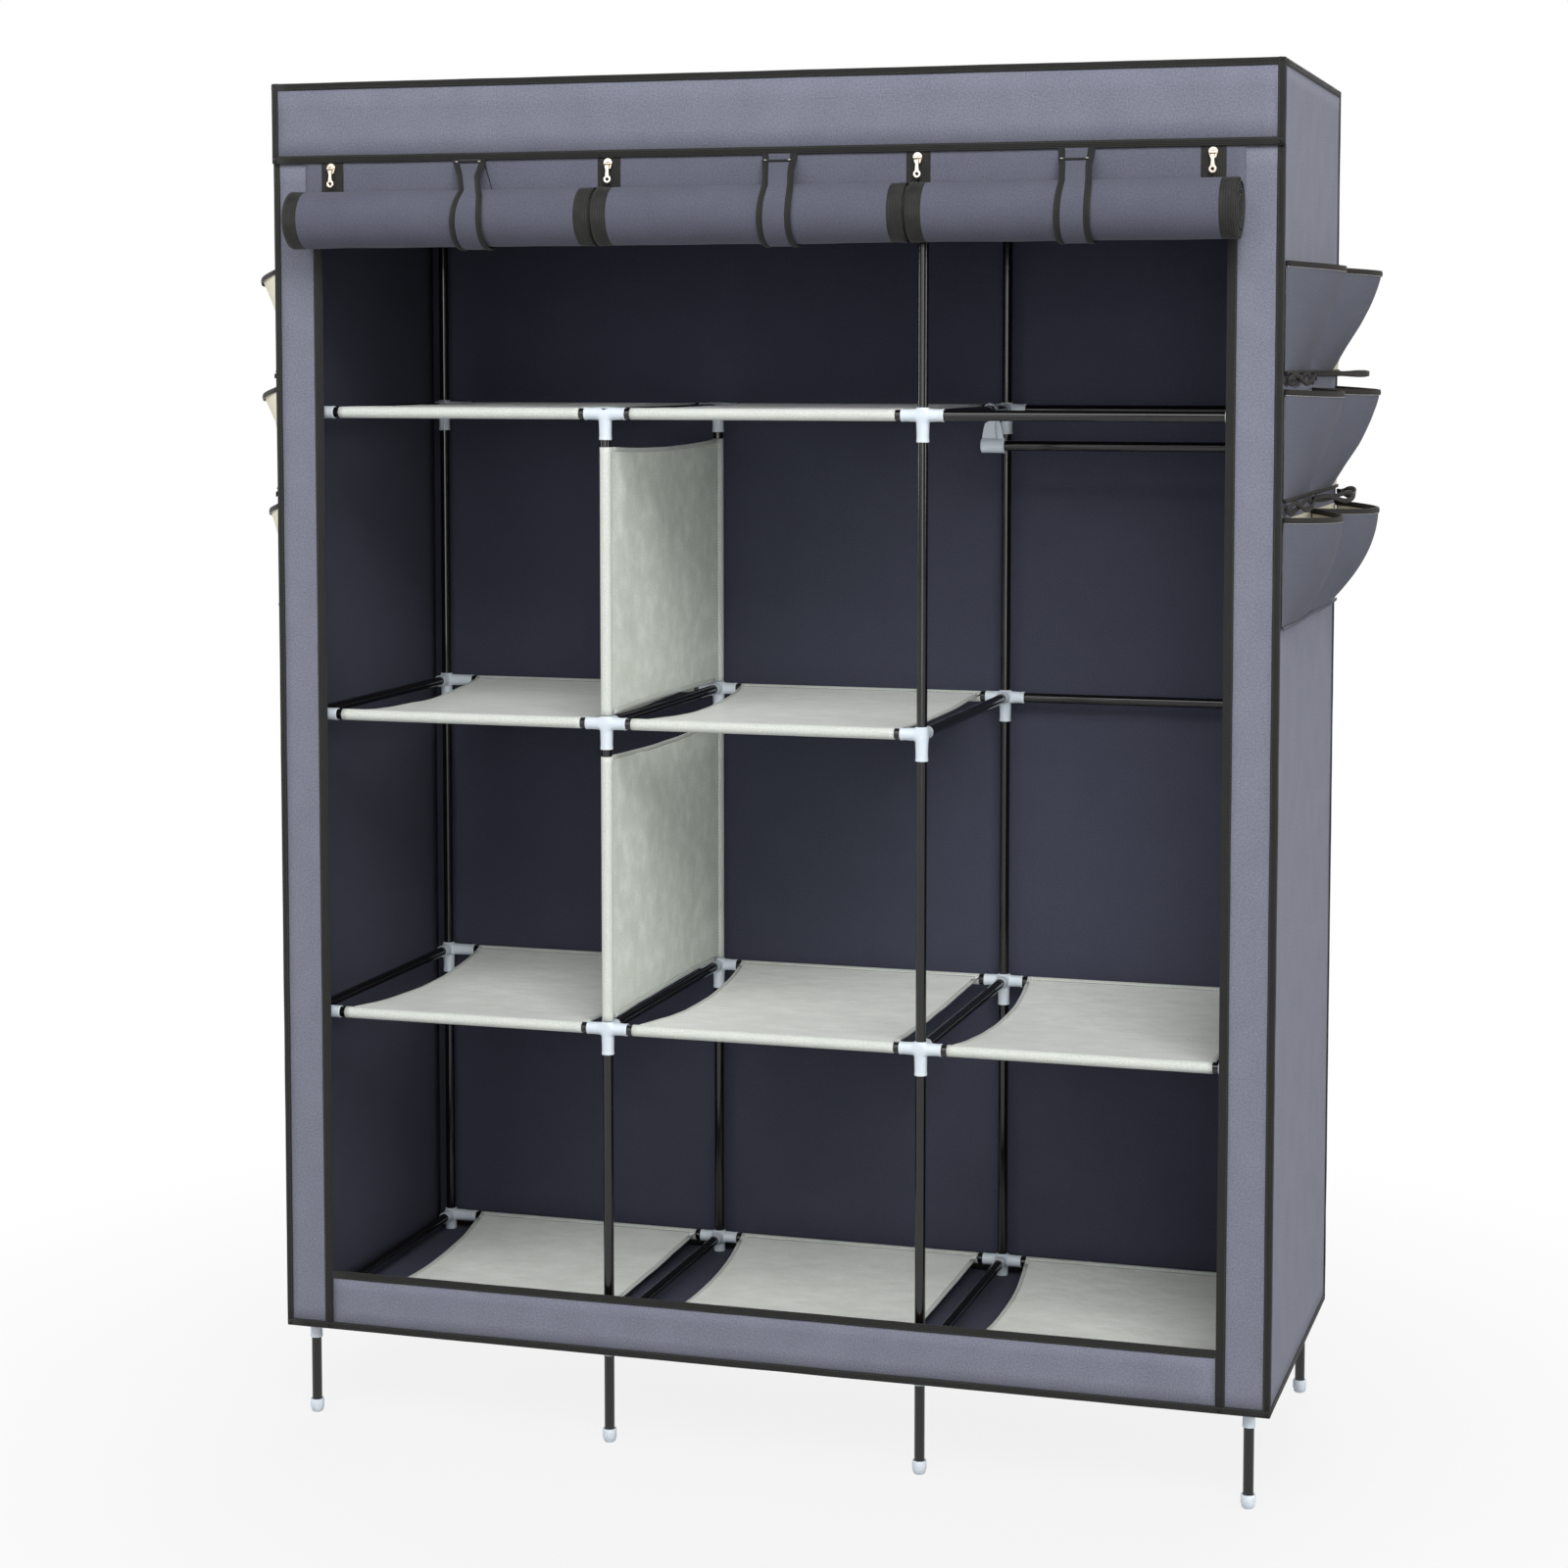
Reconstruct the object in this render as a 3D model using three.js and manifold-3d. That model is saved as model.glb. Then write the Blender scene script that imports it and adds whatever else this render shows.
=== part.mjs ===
// A portable fabric wardrobe: steel tubes in plastic connectors make three bays of shelves,
// and a sewn cover with rolled-up doors and side pockets hangs over them.
// Millimetres, +Z up, doors facing -Y, origin on the floor at the middle of the outer box.
import * as THREE from "three";
import { mergeVertices } from "three/addons/utils/BufferGeometryUtils.js";
import Module from "manifold-3d";

const wasm = await Module();
wasm.setup();

// Driving dimensions of the frame
const bayWidth = 410; // between the axes of neighbouring posts
const bayCount = 3;
const levelCount = 5;
const frameDepth = 455; // between the axes of the front and the back posts
const levelPitch = 390; // between the axes of neighbouring levels of rails
const lowestLevel = 146; // floor to the axis of the lowest rails
const tubeDiameter = 13;
const contactGap = 0.3; // between pieces that touch or slip over each other
const cutOverrun = 6; // how far a cutter runs past the face it opens
const weldTolerance = 0.0001; // between vertices that are one

// Connectors, moulded sockets that hold the tubes
const socketDiameter = 16.4;
const armLength = 27; // post axis to the mouth of a level arm
const downArmLength = 33; // rail axis to the mouth of the arm that points down
const cornerLegArmLength = 46; // the same on the four lowest corners, which show below the cover
const collarHeight = 10; // rail axis to the top of the hub
const socketCapWall = 3; // over the end of a post
const crownHeight = 24; // rail axis to the top of the domes that carry the cover
const crownTopDiameter = 9;

// Foot caps
const footDiameter = 18;
const footTipDiameter = 15;
const footHeight = 17;
const footFloor = 3;
const footTaperHeight = 5;

// Fabric cover
const sideMargin = 28; // post axis to the outer face of a side panel
const faceMargin = 26; // post axis to the outer face of the front and the back
const coverWall = 1.5;
const hemDrop = 24; // axis of the lowest rails to the lower hem
const headerHeight = 99;
const headerLap = 3.6; // how far the header band stands in front of the strips
const sideStripWidth = 64;
const bottomStripHeight = 75;

// Doors, rolled up under the header
const doorOverlap = 19.5; // how far the outer doors reach over the side strips
const doorSpacing = 2; // between the edges of neighbouring doors
const doorWidthShares = [0.343, 0.3285, 0.3285]; // of the cloth across the opening
const doorCloth = 1.5;
const rollRadius = 36.5;
const rollBoreRadius = 9;
const rollTurns = 6;
const rollHeadroom = 36.5; // header's lower edge to the top of the rolls
const strapWidth = 40;
const strapCloth = 1;
const strapFall = 4; // how far a strap hangs straight before it leans out over the roll
const strapPlaceShares = [0.55, 0.56, 0.49]; // of each door's width, from its left edge

// Zips at the edges of the doors
const zipTapeWidth = 24;
const zipTapeThickness = 1;
const outerZipInset = 18; // from the edge of the opening
const sliderWidth = 11; // across its round head
const sliderTailWidth = 6;
const sliderHeight = 13;
const sliderThickness = 4;
const sliderDrop = 2; // header's lower edge to the top of a slider
const pullPinDiameter = 2.2;
const pullPinStandOff = 2.6; // slider's face to the pin's axis
const pullEarThickness = 1.4;
const pullEyeDiameter = 4.6;
const pullEyeWidth = 3.6;
const pullLength = 24; // pin's axis to the tip
const pullShankWidth = 5;
const pullRingDiameter = 9.4;
const pullThickness = 1.4;
const pullHoleDiameter = 4.2;

// Shelves, cloths with a sleeve over each rail
const shelfCloth = 1.2;
const shelfEndInset = 34; // post axis to the end of a sleeve
const shelfSag = 12;
const shelfSideHollow = 28; // how far each side edge is drawn in at half depth
const shelfRise = 4; // rail axis to the level where the cloth leaves its sleeve

// Dividers, cloths with a sleeve over a front and a back post
const dividerCloth = 1.2;
const dividerTopClearance = 9; // under the mouth of the connector above
const dividerTopHollow = 24;
const dividerFootHollow = 12;
const dividerFold = 5; // how far the cloth swings out of its plane
const dividerFolds = 1.5;

// Side pockets, three tiers of two on each side
const pocketTiers = 3;
const pocketRimDrop = 234; // cover's top to the rim of the top tier
const pocketTierPitch = 150;
const pocketDepth = 138; // rim to the lowest seam
const pocketReach = 64; // how far a rim stands out at its middle
const pocketWall = 1.5;
const pocketEndInset = 8; // from the cover's front and back edges
const pocketSeamWidth = 6; // between the two pockets of a tier
const pocketPlanPower = 2.4; // fullness of a rim seen from above
const pocketSlopePower = 1.6; // how late the cloth falls in below the rim
const pocketFloorShare = 0.94; // of the depth, where the cloth is sewn shut
const pocketCavityShare = 0.86; // of the depth, where the inside ends

// Hanging rod under the top shelf level of the right bay
const rodDrop = 46; // rail axis to the rod's axis
const rodPlaceShare = 0.29; // of the frame's depth, behind its middle
const rodInset = 8; // post axis to the end of the rod
const hookWall = 2.8;
const hookWidth = 14;
const hookOpeningAngle = 70; // degrees left open under the depth tube
const hookStemWidth = 5;
const cupLength = 28;
const cupWall = 2.6;
const cupStart = 7; // how far the closed end lies behind the post's axis

// Facets
const tubeFacets = 8;
const sleeveFacets = 12;
const footFacets = 12;
const pinFacets = 10;
const clothSteps = 6;
const rollSteps = 12; // for each turn
const strapSteps = 14;
const pocketSteps = 6;
const pocketRings = 5;
const cavitySteps = 4;

// Sizes that follow from them
const tubeRadius = tubeDiameter / 2;
const halfBays = bayCount / 2;
const levels = Array.from({ length: levelCount }, (_, k) => lowestLevel + k * levelPitch);
const hangingLevel = levelCount - 2;
const topLevel = levels.length - 1;
const coverTop = levels[topLevel] + crownHeight + contactGap + coverWall;
const headerBottom = coverTop - headerHeight;
const coverHalfWidth = halfBays * bayWidth + sideMargin;
const coverHalfDepth = frameDepth / 2 + faceMargin;
const hemHeight = lowestLevel - hemDrop;
const openingHalfWidth = coverHalfWidth - sideStripWidth;
const sheetBack = -coverHalfDepth - contactGap;
const sheetFront = sheetBack - doorCloth;
const rollY = sheetBack - rollRadius;
const rollZ = headerBottom - rollHeadroom - rollRadius;
// The strap's flats clear the roll: its arc is under 0.7 of a turn.
const strapArcShare = 0.7;
const strapStepAngle = (Math.PI * strapArcShare) / strapSteps;
const strapRadius = (rollRadius + contactGap + strapCloth / 2) / Math.cos(strapStepAngle);
const postX = (i) => (i - halfBays) * bayWidth;
const rows = { front: -frameDepth / 2, back: frameDepth / 2 };
// The second post ends at the hanging level, so the compartment above it spans two bays.
const shortPost = 1;
const lastLevelOf = (i) => (i === shortPost ? hangingLevel : topLevel);
// The last bay is the hanging space, with neither a front rail nor a cloth at its middle level.
const hangingBay = bayCount - 1;
const hangingMiddle = hangingLevel - 1;
const bays = Array.from({ length: bayCount }, (_, bay) => bay);
const posts = Array.from({ length: bayCount + 1 }, (_, i) => i);
const postsAt = (level) => posts.filter((i) => lastLevelOf(i) >= level);
const shelfBays = levels
  .slice(0, topLevel)
  .map((_, level) => bays.filter((bay) => bay !== hangingBay || level < hangingMiddle));
const doorNames = ["left", "middle", "right"];

// Joining and cutting

/** A closed geometry as a solid that can be joined and cut. */
function solid(geometry) {
  const bare = geometry.clone();
  bare.deleteAttribute("normal");
  bare.deleteAttribute("uv");
  const merged = mergeVertices(bare, weldTolerance);
  return new wasm.Manifold(
    new wasm.Mesh({
      numProp: 3,
      vertProperties: new Float32Array(merged.attributes.position.array),
      triVerts: new Uint32Array(merged.index.array),
    }),
  );
}

/** A solid as a geometry to draw. */
function drawn(body) {
  const mesh = body.getMesh();
  const geometry = new THREE.BufferGeometry();
  geometry.setAttribute("position", new THREE.BufferAttribute(mesh.vertProperties, 3));
  geometry.setIndex(new THREE.BufferAttribute(mesh.triVerts, 1));
  geometry.computeVertexNormals();
  return geometry;
}

const joined = (bodies) => bodies.reduce((a, b) => a.add(b));

/** A box between two values on each axis. */
function box([x0, x1], [y0, y1], [z0, z1]) {
  const geometry = new THREE.BoxGeometry(x1 - x0, y1 - y0, z1 - z0);
  return solid(geometry.translate((x0 + x1) / 2, (y0 + y1) / 2, (z0 + z1) / 2));
}

/** Turns a geometry drawn along +Y, as three.js draws cylinders, to lie along an axis. */
function layAlong(geometry, axis) {
  if (axis === "x") return geometry.rotateZ(-Math.PI / 2);
  if (axis === "z") return geometry.rotateX(Math.PI / 2);
  return geometry;
}

/** A rod from one value to another along an axis through (a, b) on the other two, in X, Y, Z order. */
function rod(axis, [from, to], [a, b], radius, facets = tubeFacets, endRadius = radius) {
  const geometry = new THREE.CylinderGeometry(endRadius, radius, to - from, facets);
  layAlong(geometry, axis);
  const mid = (from + to) / 2;
  const place = { x: [mid, a, b], y: [a, mid, b], z: [a, b, mid] }[axis];
  return solid(geometry.translate(...place));
}

/** The radius whose flats, not its corners, lie a contact gap outside a round piece. */
const slipRadius = (radius, facets) => (radius + contactGap) / Math.cos(Math.PI / facets);

/** An outline in (Y, Z), drawn out along X. */
function alongX(outline, [x0, x1]) {
  const geometry = new THREE.ExtrudeGeometry(outline, { depth: x1 - x0, bevelEnabled: false });
  const turn = new THREE.Matrix4().makeBasis(
    new THREE.Vector3(0, 1, 0),
    new THREE.Vector3(0, 0, 1),
    new THREE.Vector3(1, 0, 0),
  );
  return solid(geometry.applyMatrix4(turn).translate(x0, 0, 0));
}

/** An outline in (X, Y), drawn up along Z. */
function alongZ(outline, [z0, z1]) {
  const geometry = new THREE.ExtrudeGeometry(outline, { depth: z1 - z0, bevelEnabled: false });
  return solid(geometry.translate(0, 0, z0));
}

/** A closed skin over rings of points, each ring flat and convex, from the first ring to the last. */
function skin(rings) {
  const count = rings[0].length;
  const index = [];
  for (let r = 0; r + 1 < rings.length; r++)
    for (let j = 0; j < count; j++) {
      const a = r * count + j;
      const b = r * count + ((j + 1) % count);
      index.push(a, b, b + count, a, b + count, a + count);
    }
  const last = (rings.length - 1) * count;
  for (let j = 1; j + 1 < count; j++) {
    index.push(0, j + 1, j);
    index.push(last, last + j, last + j + 1);
  }
  const geometry = new THREE.BufferGeometry();
  const points = rings.flat().flatMap((p) => p.toArray());
  geometry.setAttribute("position", new THREE.Float32BufferAttribute(points, 3));
  geometry.setIndex(index);
  return solid(geometry);
}

// Finishes
const finishes = {
  tube: { color: 0x17181a, roughness: 0.25, metalness: 0.6 },
  connector: { color: 0xe2ebf3, roughness: 0.45, metalness: 0 },
  cover: { color: 0x7b7e91, roughness: 0.9, metalness: 0 },
  pocket: { color: 0x6a6c7b, roughness: 0.9, metalness: 0 },
  door: { color: 0x70738a, roughness: 0.9, metalness: 0 },
  strap: { color: 0x6f7286, roughness: 0.9, metalness: 0 },
  lining: { color: 0xd6dad0, roughness: 0.8, metalness: 0 },
  zip: { color: 0xe9dccb, roughness: 0.3, metalness: 0.9 },
};

const wardrobe = new THREE.Group();

function place(name, body, finish) {
  const mesh = new THREE.Mesh(drawn(body), new THREE.MeshStandardMaterial(finishes[finish]));
  mesh.name = name;
  wardrobe.add(mesh);
}

// Frame

/** Where the bore of a post ends in the connector at the post's top. */
const boreTop = (i) => levels[lastLevelOf(i)] + collarHeight - socketCapWall;

function post(i, y) {
  return rod("z", [footFloor + contactGap, boreTop(i) - contactGap], [postX(i), y], tubeRadius);
}

function footCap(i, y) {
  const bore = slipRadius(tubeRadius, footFacets);
  const profile = [
    [0, 0],
    [footTipDiameter / 2, 0],
    [footDiameter / 2, footTaperHeight],
    [footDiameter / 2, footHeight],
    [bore, footHeight],
    [bore, footFloor],
    [0, footFloor],
  ];
  const points = profile.map(([r, z]) => new THREE.Vector2(r, z));
  const cap = new THREE.LatheGeometry(points, footFacets).rotateX(Math.PI / 2);
  return solid(cap.translate(postX(i), y, 0));
}

/** The rails of a row at a level, each from one post to the next that stands as high. */
function railsOf(row, level) {
  const ends = postsAt(level);
  const pairs = ends.slice(1).map((to, k) => [ends[k], to]);
  return pairs.filter(([from]) => row === "back" || level !== hangingMiddle || from !== hangingBay);
}

/** The moulded sockets that meet at one post: a hub with an arm for each tube. */
function connector(i, level, row) {
  const x = postX(i);
  const y = rows[row];
  const z = levels[level];
  const rails = railsOf(row, level);
  const corner = level === 0 && (i === 0 || i === bayCount);
  const drop = corner ? cornerLegArmLength : downArmLength;
  const socket = socketDiameter / 2;
  const depthArm = row === "front" ? [y, y + armLength] : [y - armLength, y];
  const arms = [
    rod("z", [z - drop, z + collarHeight], [x, y], socket),
    rod("y", depthArm, [x, z], socket),
  ];
  if (rails.some(([, to]) => to === i)) arms.push(rod("x", [x - armLength, x], [y, z], socket));
  if (rails.some(([from]) => from === i)) arms.push(rod("x", [x, x + armLength], [y, z], socket));
  if (level === topLevel) {
    const crown = [z + collarHeight, z + crownHeight];
    arms.push(rod("z", crown, [x, y], socket, tubeFacets, crownTopDiameter / 2));
  }
  return joined(arms);
}

/** One level of the frame: its rails and depth tubes in their connectors, bored for the posts. */
function frameLevel(level) {
  const z = levels[level];
  const pieces = [];
  const bores = [];
  for (const i of postsAt(level)) {
    const ends = lastLevelOf(i) === level;
    const top = ends ? boreTop(i) : z + collarHeight + cutOverrun;
    const bottom = z - cornerLegArmLength - cutOverrun;
    for (const row of ["front", "back"]) {
      pieces.push(connector(i, level, row));
      bores.push(rod("z", [bottom, top], [postX(i), rows[row]], slipRadius(tubeRadius, tubeFacets)));
    }
    pieces.push(rod("y", [rows.front, rows.back], [postX(i), z], tubeRadius));
  }
  for (const [row, y] of Object.entries(rows))
    for (const [from, to] of railsOf(row, level))
      pieces.push(rod("x", [postX(from), postX(to)], [y, z], tubeRadius));
  return joined(pieces).subtract(joined(bores));
}

// Cloths on the frame

const sleeveBore = slipRadius(tubeRadius, sleeveFacets);

/** A round outline in flats, such as a sleeve's wall or its bore. */
function disc(cx, cy, radius) {
  const points = [];
  for (let k = 0; k < sleeveFacets; k++) {
    const turn = (2 * Math.PI * k) / sleeveFacets;
    points.push(polar(radius, turn).add(new THREE.Vector2(cx, cy)));
  }
  return new THREE.Shape(points);
}

/** A strip of cloth of even thickness that follows a line of points. */
function ribbon(line, cloth) {
  const sides = [[], []];
  line.forEach((p, k) => {
    const before = line[Math.max(k - 1, 0)];
    const after = line[Math.min(k + 1, line.length - 1)];
    const across = new THREE.Vector2(before.y - after.y, after.x - before.x).normalize();
    sides[0].push(p.clone().addScaledVector(across, -cloth / 2));
    sides[1].unshift(p.clone().addScaledVector(across, cloth / 2));
  });
  return new THREE.Shape([...sides[0], ...sides[1]]);
}

const straight = (start, end, s) => start + (end - start) * s;

const polar = (radius, turn) => new THREE.Vector2(radius * Math.cos(turn), radius * Math.sin(turn));

/** The outline of a cutter that draws an edge of cloth in by a hollow between two ends. */
function bow(half, edge, inward, hollow) {
  const points = [];
  for (let k = 0; k <= clothSteps; k++) {
    const s = k / clothSteps;
    const depth = hollow * (1 - (2 * s - 1) ** 2);
    points.push(new THREE.Vector2(straight(-half, half, s), edge + inward * depth));
  }
  const rim = edge - inward * cutOverrun;
  points.push(new THREE.Vector2(half, rim), new THREE.Vector2(-half, rim));
  return points;
}

function shelf(bay, level) {
  const z = levels[level];
  const ends = [postX(bay) + shelfEndInset, postX(bay + 1) - shelfEndInset];
  const wallRadius = sleeveBore + shelfCloth / 2;
  const reach = frameDepth / 2 - Math.sqrt(wallRadius ** 2 - shelfRise ** 2);
  const line = [];
  for (let k = 0; k <= clothSteps; k++) {
    const s = k / clothSteps;
    const sag = shelfSag * (1 - (2 * s - 1) ** 2);
    line.push(new THREE.Vector2(straight(-reach, reach, s), z + shelfRise - sag));
  }
  const pieces = [alongX(ribbon(line, shelfCloth), ends)];
  const cuts = [];
  for (const y of Object.values(rows)) {
    pieces.push(alongX(disc(y, z, sleeveBore + shelfCloth), ends));
    cuts.push(alongX(disc(y, z, sleeveBore), [ends[0] - cutOverrun, ends[1] + cutOverrun]));
  }
  const clear = frameDepth / 2 - wallRadius - shelfCloth;
  const heights = [z - shelfSag - cutOverrun, z + shelfRise + cutOverrun];
  for (const [edge, inward] of [[ends[0], 1], [ends[1], -1]]) {
    const outline = bow(clear, edge, inward, shelfSideHollow).map((p) => new THREE.Vector2(p.y, p.x));
    cuts.push(alongZ(new THREE.Shape(outline), heights));
  }
  return joined(pieces).subtract(joined(cuts));
}

function divider(below) {
  const x = postX(shortPost);
  const foot = levels[below] + collarHeight + contactGap;
  const head = levels[below + 1] - downArmLength - dividerTopClearance;
  const wallRadius = sleeveBore + dividerCloth / 2;
  const reach = frameDepth / 2 - wallRadius;
  const line = [];
  for (let k = 0; k <= clothSteps; k++) {
    const s = k / clothSteps;
    const swing = dividerFold * Math.sin(2 * Math.PI * dividerFolds * s) * Math.sin(Math.PI * s);
    line.push(new THREE.Vector2(x + swing, straight(-reach, reach, s)));
  }
  const pieces = [alongZ(ribbon(line, dividerCloth), [foot, head])];
  const cuts = [];
  for (const y of Object.values(rows)) {
    pieces.push(alongZ(disc(x, y, sleeveBore + dividerCloth), [foot, head]));
    cuts.push(alongZ(disc(x, y, sleeveBore), [foot - cutOverrun, head + cutOverrun]));
  }
  const clear = reach - dividerCloth - wallRadius / 2;
  const swingRoom = [x - dividerFold - cutOverrun, x + dividerFold + cutOverrun];
  const top = bow(clear, head, -1, dividerTopHollow);
  const bottom = bow(clear, foot, 1, dividerFootHollow);
  cuts.push(alongX(new THREE.Shape(top), swingRoom), alongX(new THREE.Shape(bottom), swingRoom));
  return joined(pieces).subtract(joined(cuts));
}

// Cover

function cover() {
  const x = coverHalfWidth;
  const y = coverHalfDepth;
  const shell = box([-x, x], [-y, y], [hemHeight, coverTop]);
  const band = box([-x, x], [-y - headerLap, coverWall - y], [headerBottom, coverTop]);
  const inside = box(
    [coverWall - x, x - coverWall],
    [coverWall - y, y - coverWall],
    [hemHeight - cutOverrun, coverTop - coverWall],
  );
  const opening = box(
    [-openingHalfWidth, openingHalfWidth],
    [-y - cutOverrun, coverWall - y + cutOverrun],
    [hemHeight + bottomStripHeight, headerBottom],
  );
  return shell.subtract(inside).subtract(opening).add(band);
}

/** How far a pocket stands out, as a share of its reach, at a share of its length from one end. */
const pocketFullness = (s) => 1 - Math.abs(2 * s - 1) ** pocketPlanPower;
/** The same down the pocket, from 1 at the rim to 0 at the lowest seam. */
const pocketSlope = (t) => 1 - t ** pocketSlopePower;

/** How far a pocket's cloth stands out from the cover there. */
const standOut = (s, t) => {
  const walls = 2 * pocketWall;
  return walls + (pocketReach * pocketSlope(t) - walls) * pocketFullness(s);
};

/** A skin over rings that run down a pocket: at(s, t) gives its cloth, inner the plane behind it. */
function pocketSkin(side, [y0, y1], heights, steps, at, inner) {
  const wall = coverHalfWidth + contactGap;
  const point = (out, s, z) => new THREE.Vector3(side * (wall + out), straight(y0, y1, s), z);
  return skin(
    heights.map(([t, z]) => {
      const ring = [];
      for (let j = steps; j >= 0; j--) ring.push(point(at(j / steps, t), j / steps, z));
      ring.push(point(inner, 0, z), point(inner, 1, z));
      return side > 0 ? ring : ring.reverse();
    }),
  );
}

/** A tier of two pockets on one side of the cover: side is 1 on the right and -1 on the left. */
function pocketTier(side, tier) {
  const rim = coverTop - pocketRimDrop - tier * pocketTierPitch;
  const end = coverHalfDepth - pocketEndInset;
  const seam = pocketSeamWidth / 2;
  const levelsDown = (share, steps) =>
    Array.from({ length: steps + 1 }, (_, r) => (share * r) / steps).map((t) => [t, rim - t * pocketDepth]);
  const rings = levelsDown(pocketFloorShare, pocketRings);
  const hollow = [[0, rim + cutOverrun], ...levelsDown(pocketCavityShare, cavitySteps)];

  // Both pockets take in the seam between them, where they lie flat on the cover.
  const spans = [[-end, seam], [-seam, end]];
  const pockets = spans.map((span) => pocketSkin(side, span, rings, pocketSteps, standOut, 0));
  const cavities = [[-end, -seam], [seam, end]].map(([y0, y1]) => {
    const share = (2 * pocketWall) / (y1 - y0);
    const cloth = (s, t) => standOut(straight(share, 1 - share, s), t) - pocketWall;
    const span = [y0 + 2 * pocketWall, y1 - 2 * pocketWall];
    return pocketSkin(side, span, hollow, cavitySteps, cloth, pocketWall);
  });
  return joined(pockets).subtract(joined(cavities));
}

// Doors

const doorRun = 2 * (openingHalfWidth + doorOverlap);
const doorClothWidth = doorRun - (doorNames.length - 1) * doorSpacing;
const doorWidths = doorWidthShares.map((share) => share * doorClothWidth);
const doorLeft = (d) => doorWidths.slice(0, d).reduce((x, width) => x + width + doorSpacing, -doorRun / 2);
const doorRight = (d) => doorLeft(d) + doorWidths[d];
const zipX = [
  outerZipInset - openingHalfWidth,
  doorRight(0) + doorSpacing / 2,
  doorRight(1) + doorSpacing / 2,
  openingHalfWidth - outerZipInset,
];

const rollAxis = new THREE.Vector2(rollY, rollZ);
const rollPitch = (rollRadius - rollBoreRadius) / rollTurns;

/** The rolled part of a door: one strip of cloth wound from its bottom hem outwards. */
function doorRoll(d) {
  const line = [];
  const steps = rollTurns * rollSteps;
  for (let k = 0; k <= steps; k++) {
    const turn = (2 * Math.PI * k) / rollSteps;
    const radius = rollBoreRadius + (rollPitch * k) / rollSteps - doorCloth / 2;
    line.push(polar(radius, turn).add(rollAxis));
  }
  return alongX(ribbon(line, doorCloth), [doorLeft(d), doorRight(d)]);
}

/** The part of a door between the header and its roll, with zip tape where the zips run. */
function doorSheet(d) {
  const foot = rollZ + 2 * contactGap;
  const heights = [foot, headerBottom - contactGap];
  const ends = [doorLeft(d), doorRight(d)];
  const pieces = [box(ends, [sheetFront, sheetBack], heights)];
  for (const x of [zipX[d], zipX[d + 1]]) {
    const from = Math.max(x - zipTapeWidth / 2, ends[0]);
    const to = Math.min(x + zipTapeWidth / 2, ends[1]);
    pieces.push(box([from, to], [sheetFront - zipTapeThickness, sheetBack - doorCloth / 2], heights));
  }
  return joined(pieces);
}

/** The strap that holds a roll: down in front of it, round it, and up behind the door. */
function doorStrap(d) {
  const middle = straight(doorLeft(d), doorRight(d), strapPlaceShares[d]);
  const head = headerBottom - contactGap;
  const start = new THREE.Vector2(-coverHalfDepth - headerLap + strapCloth / 2, head);
  const bend = new THREE.Vector2(start.x, head - strapFall);
  const fromRoll = bend.clone().sub(rollAxis);
  const touch = fromRoll.angle() + Math.acos(strapRadius / fromRoll.length());
  const line = [start, bend];
  for (let k = 0; k <= strapSteps; k++) {
    const turn = straight(touch, 2 * Math.PI, k / strapSteps);
    line.push(polar(strapRadius, turn).add(rollAxis));
  }
  line.push(new THREE.Vector2(rollY + strapRadius, head));
  return alongX(ribbon(line, strapCloth), [middle - strapWidth / 2, middle + strapWidth / 2]);
}

// Zips
const sliderBack = sheetFront - zipTapeThickness - contactGap;
const sliderFace = sliderBack - sliderThickness;
const sliderTop = headerBottom - sliderDrop;
const pinY = sliderFace - pullPinStandOff;
const pinZ = sliderTop - sliderHeight / 2;

/** A slider: a round head that narrows to its tail, with two ears and a pin across them. */
function zipSlider(x) {
  const head = sliderWidth / 2;
  const outline = new THREE.Shape();
  outline.absarc(x, sliderTop - head, head, 0, Math.PI);
  outline.lineTo(x - sliderTailWidth / 2, sliderTop - sliderHeight);
  outline.lineTo(x + sliderTailWidth / 2, sliderTop - sliderHeight);
  const settings = { depth: sliderThickness, bevelEnabled: false, curveSegments: pinFacets / 2 };
  const wedge = new THREE.ExtrudeGeometry(outline, settings);
  const pieces = [solid(wedge.rotateX(Math.PI / 2).translate(0, sliderBack, 0))];
  const earGap = pullEyeWidth / 2 + contactGap;
  const earRadius = pullEyeDiameter / 2;
  const earHeights = [pinZ - earRadius, pinZ + earRadius];
  for (const inner of [-earGap - pullEarThickness, earGap]) {
    const span = [x + inner, x + inner + pullEarThickness];
    pieces.push(rod("x", span, [pinY, pinZ], earRadius, pinFacets));
    pieces.push(box(span, [pinY, sliderFace + sliderThickness / 2], earHeights));
  }
  const pin = [x - earGap - pullEarThickness / 2, x + earGap + pullEarThickness / 2];
  pieces.push(rod("x", pin, [pinY, pinZ], pullPinDiameter / 2, pinFacets));
  return joined(pieces);
}

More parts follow.
